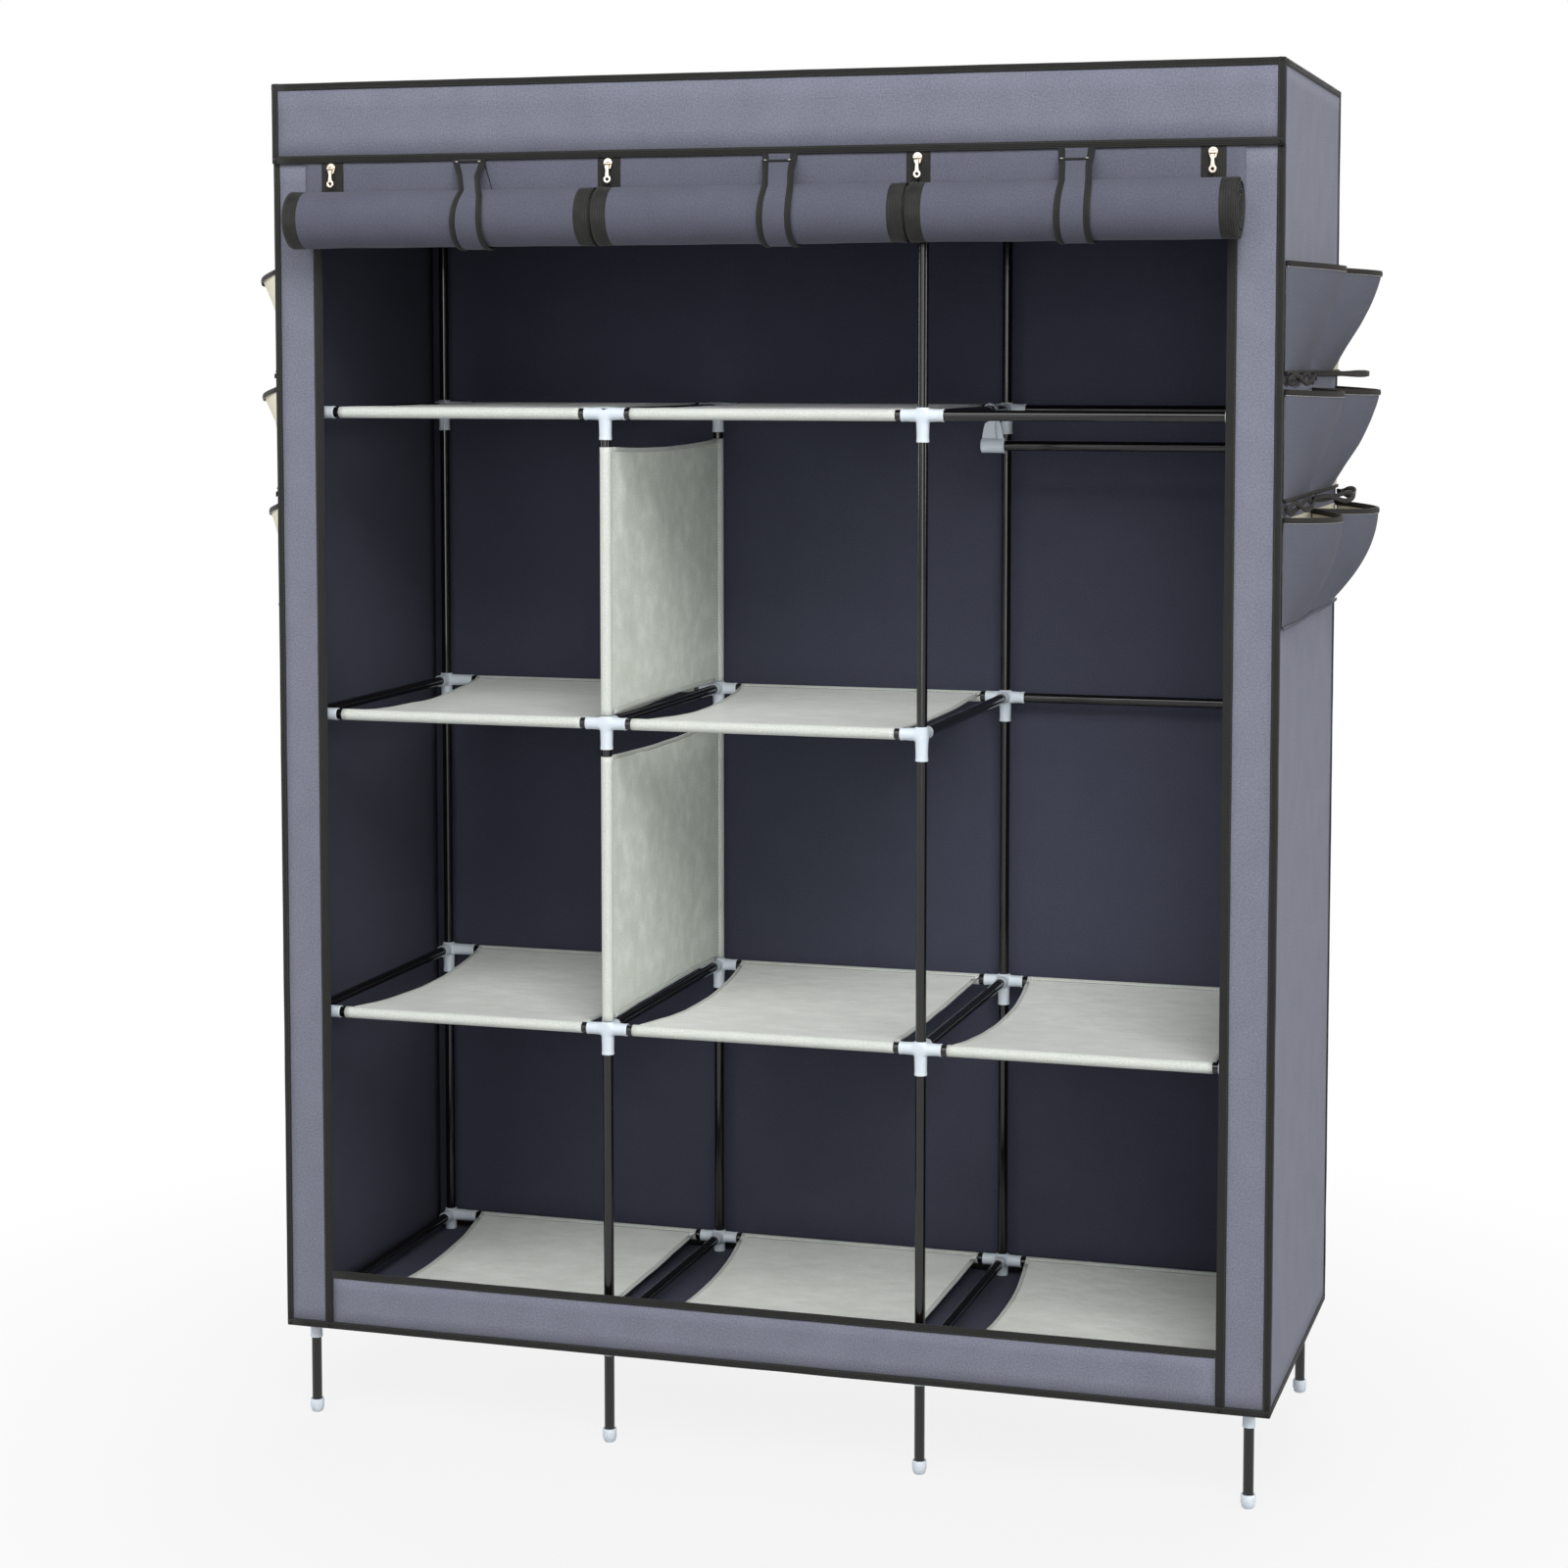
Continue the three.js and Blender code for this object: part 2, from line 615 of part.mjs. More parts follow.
/** A pull: an eye that turns on the slider's pin, a flat shank, and a ring at its tip. */
function zipPull(x) {
  const across = (width) => [x - width / 2, x + width / 2];
  const plate = [pinY - pullThickness / 2, pinY + pullThickness / 2];
  const ringZ = pinZ - pullLength + pullRingDiameter / 2;
  const pieces = [
    rod("x", across(pullEyeWidth), [pinY, pinZ], pullEyeDiameter / 2, pinFacets),
    box(across(pullEyeWidth), plate, [pinZ - 2 * pullEyeDiameter, pinZ]),
    box(across(pullShankWidth), plate, [ringZ, pinZ - pullEyeDiameter]),
    rod("y", plate, [x, ringZ], pullRingDiameter / 2, pinFacets),
  ];
  const cuts = [
    rod("x", across(2 * pullEyeWidth), [pinY, pinZ], slipRadius(pullPinDiameter / 2, pinFacets), pinFacets),
    rod("y", [pinY - pullThickness, pinY + pullThickness], [x, ringZ], pullHoleDiameter / 2, pinFacets),
  ];
  return joined(pieces).subtract(joined(cuts));
}

// Hanging rod
const rodY = rodPlaceShare * frameDepth;
const rodZ = levels[hangingLevel] - rodDrop;

/** A hook over a depth tube with a cup for the rod's end; side is 1 at the left end, -1 at the right. */
function rodHook(i, side) {
  const z = levels[hangingLevel];
  const inner = sleeveBore;
  const outer = inner + hookWall;
  const half = THREE.MathUtils.degToRad(180 - hookOpeningAngle / 2);
  const start = Math.PI / 2 - half;
  const outline = new THREE.Shape();
  const points = [];
  const turnAt = (k) => start + (2 * half * k) / sleeveFacets;
  for (let k = 0; k <= sleeveFacets; k++) points.push(polar(outer, turnAt(k)));
  for (let k = sleeveFacets; k >= 0; k--) points.push(polar(inner, turnAt(k)));
  outline.setFromPoints(points);
  const clip = new THREE.ExtrudeGeometry(outline, { depth: hookWidth, bevelEnabled: false });
  clip.translate(0, 0, -hookWidth / 2).rotateX(Math.PI / 2);
  // The stem leaves the clip halfway between level and straight down.
  const leave = inner * Math.SQRT1_2;
  const stem = new THREE.BoxGeometry(hookStemWidth, hookWidth, rodDrop - leave);
  stem.translate(leave + hookStemWidth / 2, 0, -(rodDrop + leave) / 2);
  const cupBore = slipRadius(tubeRadius, tubeFacets);
  const cupRadius = cupBore + cupWall;
  const cup = layAlong(new THREE.CylinderGeometry(cupRadius, cupRadius, cupLength, tubeFacets), "x");
  cup.translate(cupLength / 2 - cupStart, 0, -rodDrop);
  const bore = layAlong(new THREE.CylinderGeometry(cupBore, cupBore, cupLength, tubeFacets), "x");
  bore.translate(rodInset - contactGap + cupLength / 2, 0, -rodDrop);
  const seat = (geometry) => {
    if (side < 0) geometry.rotateZ(Math.PI);
    return solid(geometry.translate(postX(i), rodY, z));
  };
  return joined([clip, stem, cup].map(seat)).subtract(seat(bore));
}

// Assembly
for (const [row, y] of Object.entries(rows))
  for (const i of posts) {
    place(`foot_${row}_${i + 1}`, footCap(i, y), "connector");
    place(`post_${row}_${i + 1}`, post(i, y), "tube");
  }
levels.forEach((_, level) => {
  const name = level === topLevel ? "frame_top" : `frame_level_${level + 1}`;
  place(name, frameLevel(level), "tube");
});
shelfBays.forEach((sewn, level) => {
  for (const bay of sewn) place(`shelf_level_${level + 1}_bay_${bay + 1}`, shelf(bay, level), "lining");
});
place("divider_lower", divider(hangingMiddle - 1), "lining");
place("divider_upper", divider(hangingMiddle), "lining");
const rodEnds = [postX(hangingBay) + rodInset, postX(hangingBay + 1) - rodInset];
place("hanging_rod", rod("x", rodEnds, [rodY, rodZ], tubeRadius), "tube");
place("rod_hook_left", rodHook(hangingBay, 1), "connector");
place("rod_hook_right", rodHook(hangingBay + 1, -1), "connector");
place("cover", cover(), "cover");
for (const [name, side] of [["right", 1], ["left", -1]])
  for (let tier = 0; tier < pocketTiers; tier++)
    place(`pocket_${name}_${tier + 1}`, pocketTier(side, tier), "pocket");
doorNames.forEach((name, d) => {
  place(`door_roll_${name}`, doorRoll(d), "door");
  place(`door_sheet_${name}`, doorSheet(d), "door");
  place(`door_strap_${name}`, doorStrap(d), "strap");
});
zipX.forEach((x, k) => {
  place(`zip_slider_${k + 1}`, zipSlider(x), "zip");
  place(`zip_pull_${k + 1}`, zipPull(x), "zip");
});

// The straps reach furthest forward and the cover's back panel furthest back.
const frontReach = strapRadius + strapCloth / 2 - rollY;
wardrobe.position.y = (frontReach - coverHalfDepth) / 2;

console.log("least gap between turns of a roll", (rollPitch - doorCloth).toFixed(2), "mm");

export default wardrobe;
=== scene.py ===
"""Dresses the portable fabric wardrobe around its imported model.

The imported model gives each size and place, and every class below builds one sub-assembly of
the wardrobe from them. Lengths are metres, +Z is up, and the doors are on the -Y side.
"""

from __future__ import annotations

import logging
import math
from dataclasses import dataclass, replace
from enum import Enum
from functools import cached_property, partial
from itertools import accumulate
from typing import Callable, Iterable, Sequence

import bmesh
import bpy
from mathutils import Matrix, Vector, noise


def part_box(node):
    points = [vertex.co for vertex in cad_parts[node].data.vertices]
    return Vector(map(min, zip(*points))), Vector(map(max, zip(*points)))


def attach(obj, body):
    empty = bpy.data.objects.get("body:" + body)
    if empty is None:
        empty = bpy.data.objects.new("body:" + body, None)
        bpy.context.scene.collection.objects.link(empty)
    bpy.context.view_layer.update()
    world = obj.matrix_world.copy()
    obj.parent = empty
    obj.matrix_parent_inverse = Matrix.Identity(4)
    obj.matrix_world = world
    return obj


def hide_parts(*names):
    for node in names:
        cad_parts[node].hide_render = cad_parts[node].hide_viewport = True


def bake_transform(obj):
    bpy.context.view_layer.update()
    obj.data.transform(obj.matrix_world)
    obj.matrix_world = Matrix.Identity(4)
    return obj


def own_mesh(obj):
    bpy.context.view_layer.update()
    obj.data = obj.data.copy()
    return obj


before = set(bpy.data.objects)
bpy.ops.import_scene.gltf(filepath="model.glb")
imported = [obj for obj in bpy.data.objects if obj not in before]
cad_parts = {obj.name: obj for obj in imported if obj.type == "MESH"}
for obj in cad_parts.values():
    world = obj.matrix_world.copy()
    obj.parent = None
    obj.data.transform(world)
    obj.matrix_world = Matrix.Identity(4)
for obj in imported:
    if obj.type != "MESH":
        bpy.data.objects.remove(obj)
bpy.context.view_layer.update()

LOG = logging.getLogger("wardrobe")
MM = 0.001
FULL_TURN = 2 * math.pi
RIGHT = Vector((1, 0, 0))
BACK = Vector((0, 1, 0))
UP = Vector((0, 0, 1))

Mesh = bmesh.types.BMesh
Face = bmesh.types.BMFace
Piece = bpy.types.Object
Tree = bpy.types.NodeTree
Node = bpy.types.Node
Pair = tuple[float, float]
Triple = tuple[float, float, float]
Box = tuple[Vector, Vector]
Place = Callable[[float, float], Vector]


# Colour and nodes


def linear(code: str) -> tuple[float, float, float, float]:
    """Turns an sRGB colour, as #rrggbb, into the linear red, green, blue and alpha of shaders."""
    channels = (int(code[k : k + 2], 16) / 255 for k in (1, 3, 5))
    return *(c / 12.92 if c <= 0.04045 else ((c + 0.055) / 1.055) ** 2.4 for c in channels), 1.0


def feed(tree: Tree, node: Node, feeds: dict[str | int, object]) -> None:
    """Joins or fills the sockets of a node.

    Args:
        tree: The nodes that it belongs to.
        node: The node.
        feeds: For a socket's name or number, the output that feeds it, a node whose first
            output does, or the socket's own value.
    """
    for key, value in feeds.items():
        source = value.outputs[0] if isinstance(value, Node) else value
        if isinstance(source, bpy.types.NodeSocket):
            tree.links.new(source, node.inputs[key])
        else:
            node.inputs[key].default_value = source


def add_node(
    tree: Tree, kind: str, feeds: dict[str | int, object] | None = None, **settings: object
) -> Node:
    """Adds a node with its settings and links.

    Args:
        tree: The nodes of a material or of the world.
        kind: Blender's name of the node type.
        feeds: What feeds or fills its sockets.
        settings: The node's own properties.

    Returns:
        The new node.
    """
    node = tree.nodes.new(kind)
    for name, value in settings.items():
        setattr(node, name, value)
    feed(tree, node, feeds or {})
    return node


# Finishes


class Pattern(Enum):
    """What a pattern follows: the flat cut of a cloth, or the wardrobe's own frame."""

    CUT = "UV"
    FRAME = "Object"


MIX_FACTOR, MIX_FIRST, MIX_SECOND, MIX_RESULT = 0, 6, 7, 2


@dataclass(frozen=True)
class Finish:
    """A finish of the wardrobe: a named material and the record's slot that it belongs to."""

    name: str
    slot: str
    colour: str

    def material(self) -> bpy.types.Material:
        """Makes the material the first time that it is asked for.

        Returns:
            The finish as a material.
        """
        made = bpy.data.materials.get(self.name)
        if made is None:
            made = bpy.data.materials.new(self.name)
            made.use_nodes = True
            self.shade(made.node_tree, made.node_tree.nodes["Principled BSDF"])
        return made

    def shade(self, tree: Tree, shader: Node) -> None:
        """Sets the shader of the material, a Principled BSDF, in the tree of its nodes."""
        raise NotImplementedError


@dataclass(frozen=True)
class Cloth(Finish):
    """Spun-bonded polypropylene, printed on one side.

    It is matt, and its rolled-in dots and loose fibres break up the light a little. The dots
    are about 1.2 mm apart on the real cloth and drawn wider here, so that they show. Buckle
    is how much higher the clouds stand than the fibres, where a cloth isn't quite flat.
    """

    fleck: str = "#ffffff"
    pattern: Pattern = Pattern.CUT
    dot_pitch: float = 3.0 * MM
    fibre: float = 2.2 * MM
    cloud: float = 55 * MM
    cloud_share: float = 0.2
    fibre_share: float = 0.8
    cloud_range: Pair = (0.32, 0.68)
    fibre_range: Pair = (0.3, 0.7)
    dot_height: float = 0.25
    relief: float = 0.16 * MM
    buckle: float = 0.0
    roughness: float = 0.92
    sheen: float = 0.04

    def shade(self, tree: Tree, shader: Node) -> None:
        """Sets clouds and fibres in the colour, and dots and fibres in the relief.

        Args:
            tree: The material's nodes.
            shader: Its shader.
        """
        place = add_node(tree, "ShaderNodeTexCoord").outputs[self.pattern.value]
        clouds, fibres = (
            add_node(tree, "ShaderNodeTexNoise", {"Vector": place, "Scale": 1 / size, "Detail": detail})
            for size, detail in ((self.cloud, 4.0), (self.fibre, 2.0))
        )
        stretch = (FULL_TURN / self.dot_pitch,) * 3
        turned = add_node(tree, "ShaderNodeVectorMath", {0: place, 1: stretch}, operation="MULTIPLY")
        waves = add_node(tree, "ShaderNodeVectorMath", {0: turned}, operation="SINE")
        dots = add_node(
            tree, "ShaderNodeVectorMath", {0: waves, 1: (1.0, 1.0, 1.0)}, operation="DOT_PRODUCT"
        ).outputs["Value"]
        soft, fine = (
            add_node(
                tree,
                "ShaderNodeMapRange",
                {"Value": source, "From Min": low, "From Max": high, "To Max": share},
            )
            for source, (low, high), share in (
                (clouds, self.cloud_range, self.cloud_share),
                (fibres, self.fibre_range, self.fibre_share),
            )
        )
        share = add_node(tree, "ShaderNodeMath", {0: soft, 1: fine}, operation="ADD", use_clamp=True)
        colours = {MIX_FIRST: linear(self.colour), MIX_SECOND: linear(self.fleck)}
        tint = add_node(tree, "ShaderNodeMix", {MIX_FACTOR: share, **colours}, data_type="RGBA")
        height = fibres
        for source, weight in ((dots, self.dot_height), (clouds, self.buckle)):
            feeds = {0: source, 1: weight, 2: height}
            height = add_node(tree, "ShaderNodeMath", feeds, operation="MULTIPLY_ADD")
        relief = {"Strength": 0.6, "Distance": self.relief, "Height": height}
        facts = {
            "Base Color": tint.outputs[MIX_RESULT],
            "Roughness": self.roughness,
            "Sheen Weight": self.sheen,
            "Sheen Roughness": 0.5,
            "Specular IOR Level": 0.25,
            "Normal": add_node(tree, "ShaderNodeBump", relief),
        }
        feed(tree, shader, facts)


@dataclass(frozen=True)
class Tape(Finish):
    """Woven polyester tape, such as bias binding or the tape of a zip.

    Close ribs run along its length. Their crests carry a lighter ridge colour, a painted highlight,
    stronger in some patches than in others.
    """

    # The ridge colour is a painted highlight on the rib crests.
    ridge: str = "#55554c"
    rib_pitch: float = 1.9 * MM
    rib_height: float = 0.3 * MM
    glint_patch: float = 14 * MM
    glint_range: Pair = (0.35, 0.8)
    glint_share: float = 0.55
    roughness: float = 0.72

    def shade(self, tree: Tree, shader: Node) -> None:
        """Sets ribs in the relief, and a painted highlight on their crests that is uneven in patches.

        Args:
            tree: The material's nodes.
            shader: Its shader.
        """
        place = add_node(tree, "ShaderNodeTexCoord").outputs["UV"]
        across = add_node(tree, "ShaderNodeSeparateXYZ", {0: place})
        stretch = FULL_TURN / self.rib_pitch
        turned = add_node(tree, "ShaderNodeMath", {0: across, 1: stretch}, operation="MULTIPLY")
        ribs = add_node(tree, "ShaderNodeMath", {0: turned}, operation="SINE")
        patches = {"Vector": place, "Scale": 1 / self.glint_patch, "Detail": 5.0}
        glint_noise = add_node(tree, "ShaderNodeTexNoise", patches)
        low, high = self.glint_range
        glint_spread = {"Value": glint_noise, "From Min": low, "From Max": high, "To Max": self.glint_share}
        share = add_node(tree, "ShaderNodeMapRange", glint_spread)
        # The ridge colour mixed onto the rib crests is a painted highlight; the patch noise makes it
        # uneven.
        raised = add_node(tree, "ShaderNodeMapRange", {"Value": ribs, "From Min": -1.0, "From Max": 1.0})
        factor = add_node(tree, "ShaderNodeMath", {0: share, 1: raised}, operation="MULTIPLY")
        colours = {MIX_FIRST: linear(self.colour), MIX_SECOND: linear(self.ridge)}
        tint = add_node(tree, "ShaderNodeMix", {MIX_FACTOR: factor, **colours}, data_type="RGBA")
        relief = {"Strength": 0.7, "Distance": self.rib_height, "Height": ribs}
        facts = {
            "Base Color": tint.outputs[MIX_RESULT],
            "Roughness": self.roughness,
            "Sheen Weight": 0.05,
            "Specular IOR Level": 0.3,
            "Normal": add_node(tree, "ShaderNodeBump", relief),
        }
        feed(tree, shader, facts)


@dataclass(frozen=True)
class Enamel(Finish):
    """Stoved enamel on thin steel tube: deep gloss with a faint orange peel."""

    roughness: float = 0.12
    handled_patch: float = 30 * MM
    peel: float = 2.5 * MM
    peel_height: float = 0.02 * MM

    def shade(self, tree: Tree, shader: Node) -> None:
        """Sets an even dark coat whose gloss and relief waver slightly.

        Args:
            tree: The material's nodes.
            shader: Its shader.
        """
        place = add_node(tree, "ShaderNodeTexCoord").outputs["Object"]
        handling, peel = (
            add_node(tree, "ShaderNodeTexNoise", {"Vector": place, "Scale": 1 / size, "Detail": detail})
            for size, detail in ((self.handled_patch, 3.0), (self.peel, 1.0))
        )
        spread = {"To Min": self.roughness - 0.05, "To Max": self.roughness + 0.09}
        relief = {"Strength": 0.25, "Distance": self.peel_height, "Height": peel}
        facts = {
            "Base Color": linear(self.colour),
            "Roughness": add_node(tree, "ShaderNodeMapRange", {"Value": handling, **spread}),
            "IOR": 1.52,
            "Normal": add_node(tree, "ShaderNodeBump", relief),
        }
        feed(tree, shader, facts)


@dataclass(frozen=True)
class Moulding(Finish):
    """Injection-moulded natural polypropylene: milky, cool white, with a waxy shine."""

    thin: str = "#c8d6e2"
    roughness: float = 0.36
    flow_mark: float = 9 * MM
    flow_range: Pair = (0.35, 0.75)
    flow_share: float = 0.5
    grain: float = 0.8 * MM
    grain_height: float = 0.05 * MM
    light_depth: float = 4 * MM

    def shade(self, tree: Tree, shader: Node) -> None:
        """Sets a milky body with flow marks and the fine grain of a mould.

        Args:
            tree: The material's nodes.
            shader: Its shader.
        """
        place = add_node(tree, "ShaderNodeTexCoord").outputs["Object"]
        flow, grain = (
            add_node(tree, "ShaderNodeTexNoise", {"Vector": place, "Scale": 1 / size, "Detail": detail})
            for size, detail in ((self.flow_mark, 3.0), (self.grain, 2.0))
        )
        low, high = self.flow_range
        marks = {"Value": flow, "From Min": low, "From Max": high, "To Max": self.flow_share}
        share = add_node(tree, "ShaderNodeMapRange", marks)
        colours = {MIX_FIRST: linear(self.colour), MIX_SECOND: linear(self.thin)}
        tint = add_node(tree, "ShaderNodeMix", {MIX_FACTOR: share, **colours}, data_type="RGBA")
        relief = {"Strength": 0.35, "Distance": self.grain_height, "Height": grain}
        facts = {
            "Base Color": tint.outputs[MIX_RESULT],
            "Roughness": self.roughness,
            "IOR": 1.49,
            "Subsurface Weight": 0.25,
            "Subsurface Radius": (0.9, 0.95, 1.0),
            "Subsurface Scale": self.light_depth,
            "Normal": add_node(tree, "ShaderNodeBump", relief),
        }
        feed(tree, shader, facts)


@dataclass(frozen=True)
class Plating(Finish):
    """Die-cast zinc with a pale gold plate, tumbled smooth before it is plated."""

    roughness: float = 0.26
    rubbed_patch: float = 3 * MM
    rub_height: float = 0.03 * MM

    def shade(self, tree: Tree, shader: Node) -> None:
        """Sets a bright metal whose polish varies with handling.

        Args:
            tree: The material's nodes.
            shader: Its shader.
        """
        place = add_node(tree, "ShaderNodeTexCoord").outputs["Object"]
        patches = {"Vector": place, "Scale": 1 / self.rubbed_patch, "Detail": 3.0}
        rub = add_node(tree, "ShaderNodeTexNoise", patches)
        spread = {"To Min": self.roughness - 0.08, "To Max": self.roughness + 0.14}
        relief = {"Strength": 0.2, "Distance": self.rub_height, "Height": rub}
        facts = {
            "Base Color": linear(self.colour),
            "Metallic": 1.0,
            "Roughness": add_node(tree, "ShaderNodeMapRange", {"Value": rub, **spread}),
            "Normal": add_node(tree, "ShaderNodeBump", relief),
        }
        feed(tree, shader, facts)


# Stoved enamel on drawn steel tube: near black, with crisp streaks of light along it.
TUBE = Enamel("black_stoved_enamel_on_steel_tube", "tube", "#0c0b0a")
# Natural polypropylene from a mould: milky and waxy, a cool white that is blue in its shade.
FITTING = Moulding("injection_moulded_natural_polypropylene", "connector", "#d3dbe2")
# Spun-bonded polypropylene, slate on its face: matt, finely speckled by fibres. Its dark navy inside is
# painted shade.
COVER_FACE = Cloth("spunbond_polypropylene_slate_face", "cover_cloth", "#666876", fleck="#808290")
# The header is the same cloth as the rest of the cover, in a slightly darker copy: painted shade that
# tones it to the light on the header.
HEADER_SHADE_FACE = Cloth("spunbond_polypropylene_slate_header", "cover_cloth", "#636573", fleck="#7d7f8e")
# The cover's inner faces: the slate cloth in a dark navy that paints the shade inside the wardrobe.
COVER_NAVY_SHADE = Cloth(
    "spunbond_polypropylene_navy_reverse", "cover_cloth", "#393b49", fleck="#424454", sheen=0.02
)
# One door cloth in two tones: this darker one on the roll and strap is painted shade, and the lighter
# one of the hanging part below is painted light.
DOOR_FACE = Cloth("spunbond_polypropylene_slate_door", "door_cloth", "#4d4e5b", fleck="#5d5e6c")
DOOR_FALL_LIT = Cloth(
    "spunbond_polypropylene_slate_door_fall",
    "door_cloth",
    "#555664",
    fleck="#686977",
    pattern=Pattern.FRAME,
)
POCKET_FACE = Cloth("spunbond_polypropylene_slate_pocket", "pocket_cloth", "#4c4e59", fleck="#5a5c68")
POCKET_LINING = Cloth("spunbond_polypropylene_cream_lining", "pocket_cloth", "#e3dec9", fleck="#d5d0ba")
# Calendered polypropylene, pressed until it has a faint shine: pale, clouded grey-green where
# its web is thin.
SHELF_CLOTH = Cloth(
    "calendered_polypropylene_lining",
    "lining",
    "#fdfefa",
    fleck="#e9ece4",
    cloud=42 * MM,
    cloud_share=0.55,
    buckle=24.0,
    roughness=0.24,
    sheen=0.45,
)
# The same cloth as the shelves where it wraps the tubes and folds into hems, in a greyer copy: painted
# shade.
SLEEVE_SHADE_CLOTH = Cloth(
    "calendered_polypropylene_sleeve",
    "lining",
    "#d4d8d2",
    fleck="#bcc1ba",
    cloud=30 * MM,
    roughness=0.42,
    sheen=0.1,
)
DIVIDER_CLOTH = Cloth(
    "calendered_polypropylene_partition",
    "lining",
    "#f4f9f1",
    fleck="#d3dbcf",
    cloud=30 * MM,
    cloud_share=0.75,
    buckle=4.0,
    roughness=0.45,
    sheen=0.3,
)
# Woven polyester tape: nearly black, with fine ribs that catch the light where it turns.
BINDING = Tape("woven_polyester_bias_binding", "strap_webbing", "#161715", ridge="#272824")
RIM_BINDING = Tape("woven_polyester_rim_binding", "pocket_cloth", "#171411", ridge="#2d2823")
ZIP_TAPE = Tape("woven_polyester_zip_tape", "door_cloth", "#191918", ridge="#45443f", rib_pitch=3.2 * MM)
# Spun polyester thread: a dull line of separate beads.
THREAD = Tape("spun_polyester_thread", "strap_webbing", "#aaa89f", ridge="#c4c2b9", rib_pitch=0.6 * MM)
DARK_THREAD = Tape("spun_polyester_dark_thread", "strap_webbing", "#3b3b38", ridge="#52524d")
# Pale gold plate on die-cast zinc: bright, warm and worn smooth.
ZIP_METAL = Plating("pale_gold_plated_zinc", "zip_metal", "#efe3d3")


# Making pieces


def evenly(start: float, stop: float, count: int) -> list[float]:
    """Returns count + 1 even steps from start to stop."""
    return [start + (stop - start) * k / count for k in range(count + 1)]


def crease(point: Vector, size: float, seed: float) -> float:
    """Returns soft uneven relief from -1 to 1 at a point, with folds of about that size."""
    return noise.noise(point / size + Vector((seed, 2.3 * seed, 3.1 * seed)))


def arch(share: float) -> float:
    """Returns 0 at both ends of a span and 1 at its middle, along a parabola."""
    return 1 - (2 * min(max(share, 0.0), 1.0) - 1) ** 2


@dataclass(frozen=True)
class Line:
    """A run of points that knows how far along it each one lies."""

    points: tuple[Vector, ...]

    @cached_property
    def distances(self) -> list[float]:
        """How far along the line each point lies."""
        steps = ((after - before).length for before, after in zip(self.points, self.points[1:]))
        return list(accumulate(steps, initial=0.0))

    @property
    def length(self) -> float:
        """The whole length of the line."""
        return self.distances[-1]

    @property
    def spots(self) -> dict[float, Vector]:
        """The points of the line by their distances along it."""
        return dict(zip(self.distances, self.points))

    def at(self, distance: float) -> Vector:
        """Finds a point between the line's own.

        Args:
            distance: How far along the line it lies.

        Returns:
            The point.
        """
        for k in range(1, len(self.points)):
            if distance <= self.distances[k] or k == len(self.points) - 1:
                start, stop = self.distances[k - 1], self.distances[k]
                return self.points[k - 1].lerp(self.points[k], (distance - start) / (stop - start))
        return self.points[-1]


def arc(middle: Vector, radius: float, first: float, last: float, steps: int) -> list[Vector]:
    """Returns points on an arc in a plane, from one angle in degrees to another."""
    turns = (math.radians(turn) for turn in evenly(first, last, steps))
    return [middle + radius * Vector((math.cos(turn), math.sin(turn))) for turn in turns]


def cloth_grid(across: Sequence[float], along: Sequence[float], place: Place) -> Mesh:
    """Lays a rectangle of cloth somewhere, with its flat cut in metres as its UV map.

    Args:
        across: Where the cut's columns lie, in metres from its left edge.
        along: Where its rows lie, in metres from its lower edge.
        place: Gives the point in the wardrobe for a point of the cut.

    Returns:
        The mesh, whose faces look along across x along.
    """
    mesh = bmesh.new()
    columns, rows = len(across) - 1, len(along) - 1
    bmesh.ops.create_grid(mesh, x_segments=columns, y_segments=rows, size=1.0)
    cut = {}
    for vert in mesh.verts:
        u = across[round((vert.co.x + 1) / 2 * columns)]
        v = along[round((vert.co.y + 1) / 2 * rows)]
        cut[vert] = (u, v)
        vert.co = place(u, v)
    layer = mesh.loops.layers.uv.new("UVMap")
    for face in mesh.faces:
        for loop in face.loops:
            loop[layer].uv = cut[loop.vert]
    return mesh


def pick_second(mesh: Mesh, chosen: Callable[[float], bool]) -> None:
    """Gives some columns of a cloth its second finish.

    Args:
        mesh: The cloth's mesh, with its cut as its UV map.
        chosen: Tells for a place across the cut whether it has the second finish.
    """
    layer = mesh.loops.layers.uv.active
    for face in mesh.faces:
        across = sum(loop[layer].uv.x for loop in face.loops) / len(face.loops)
        face.material_index = int(chosen(across))


@dataclass(frozen=True)
class Station:
    """A point of a cloth's edge, with the ways into the cloth and out of its face there."""

    point: Vector
    inward: Vector
    outward: Vector

    def offset(self, depth: float, height: float) -> Vector:
        """Returns the point that lies so deep in the cloth and so high over its face."""
        return self.point + self.inward * depth + self.outward * height


def carry(section: Sequence[Pair], edge: Sequence[Station]) -> Mesh:
    """Carries a folded section along an edge.

    Args:
        section: Depths and heights over the face, from one side of the fold to the other.
        edge: The stations of the edge.

    Returns:
        The mesh of the folded strip.
    """
    fold = Line(tuple(Vector(pair) for pair in section))
    spine = Line(tuple(station.point for station in edge))
    depths = dict(zip(fold.distances, section))
    stations = dict(zip(spine.distances, edge))
    return cloth_grid(fold.distances, spine.distances, lambda u, v: stations[v].offset(*depths[u]))


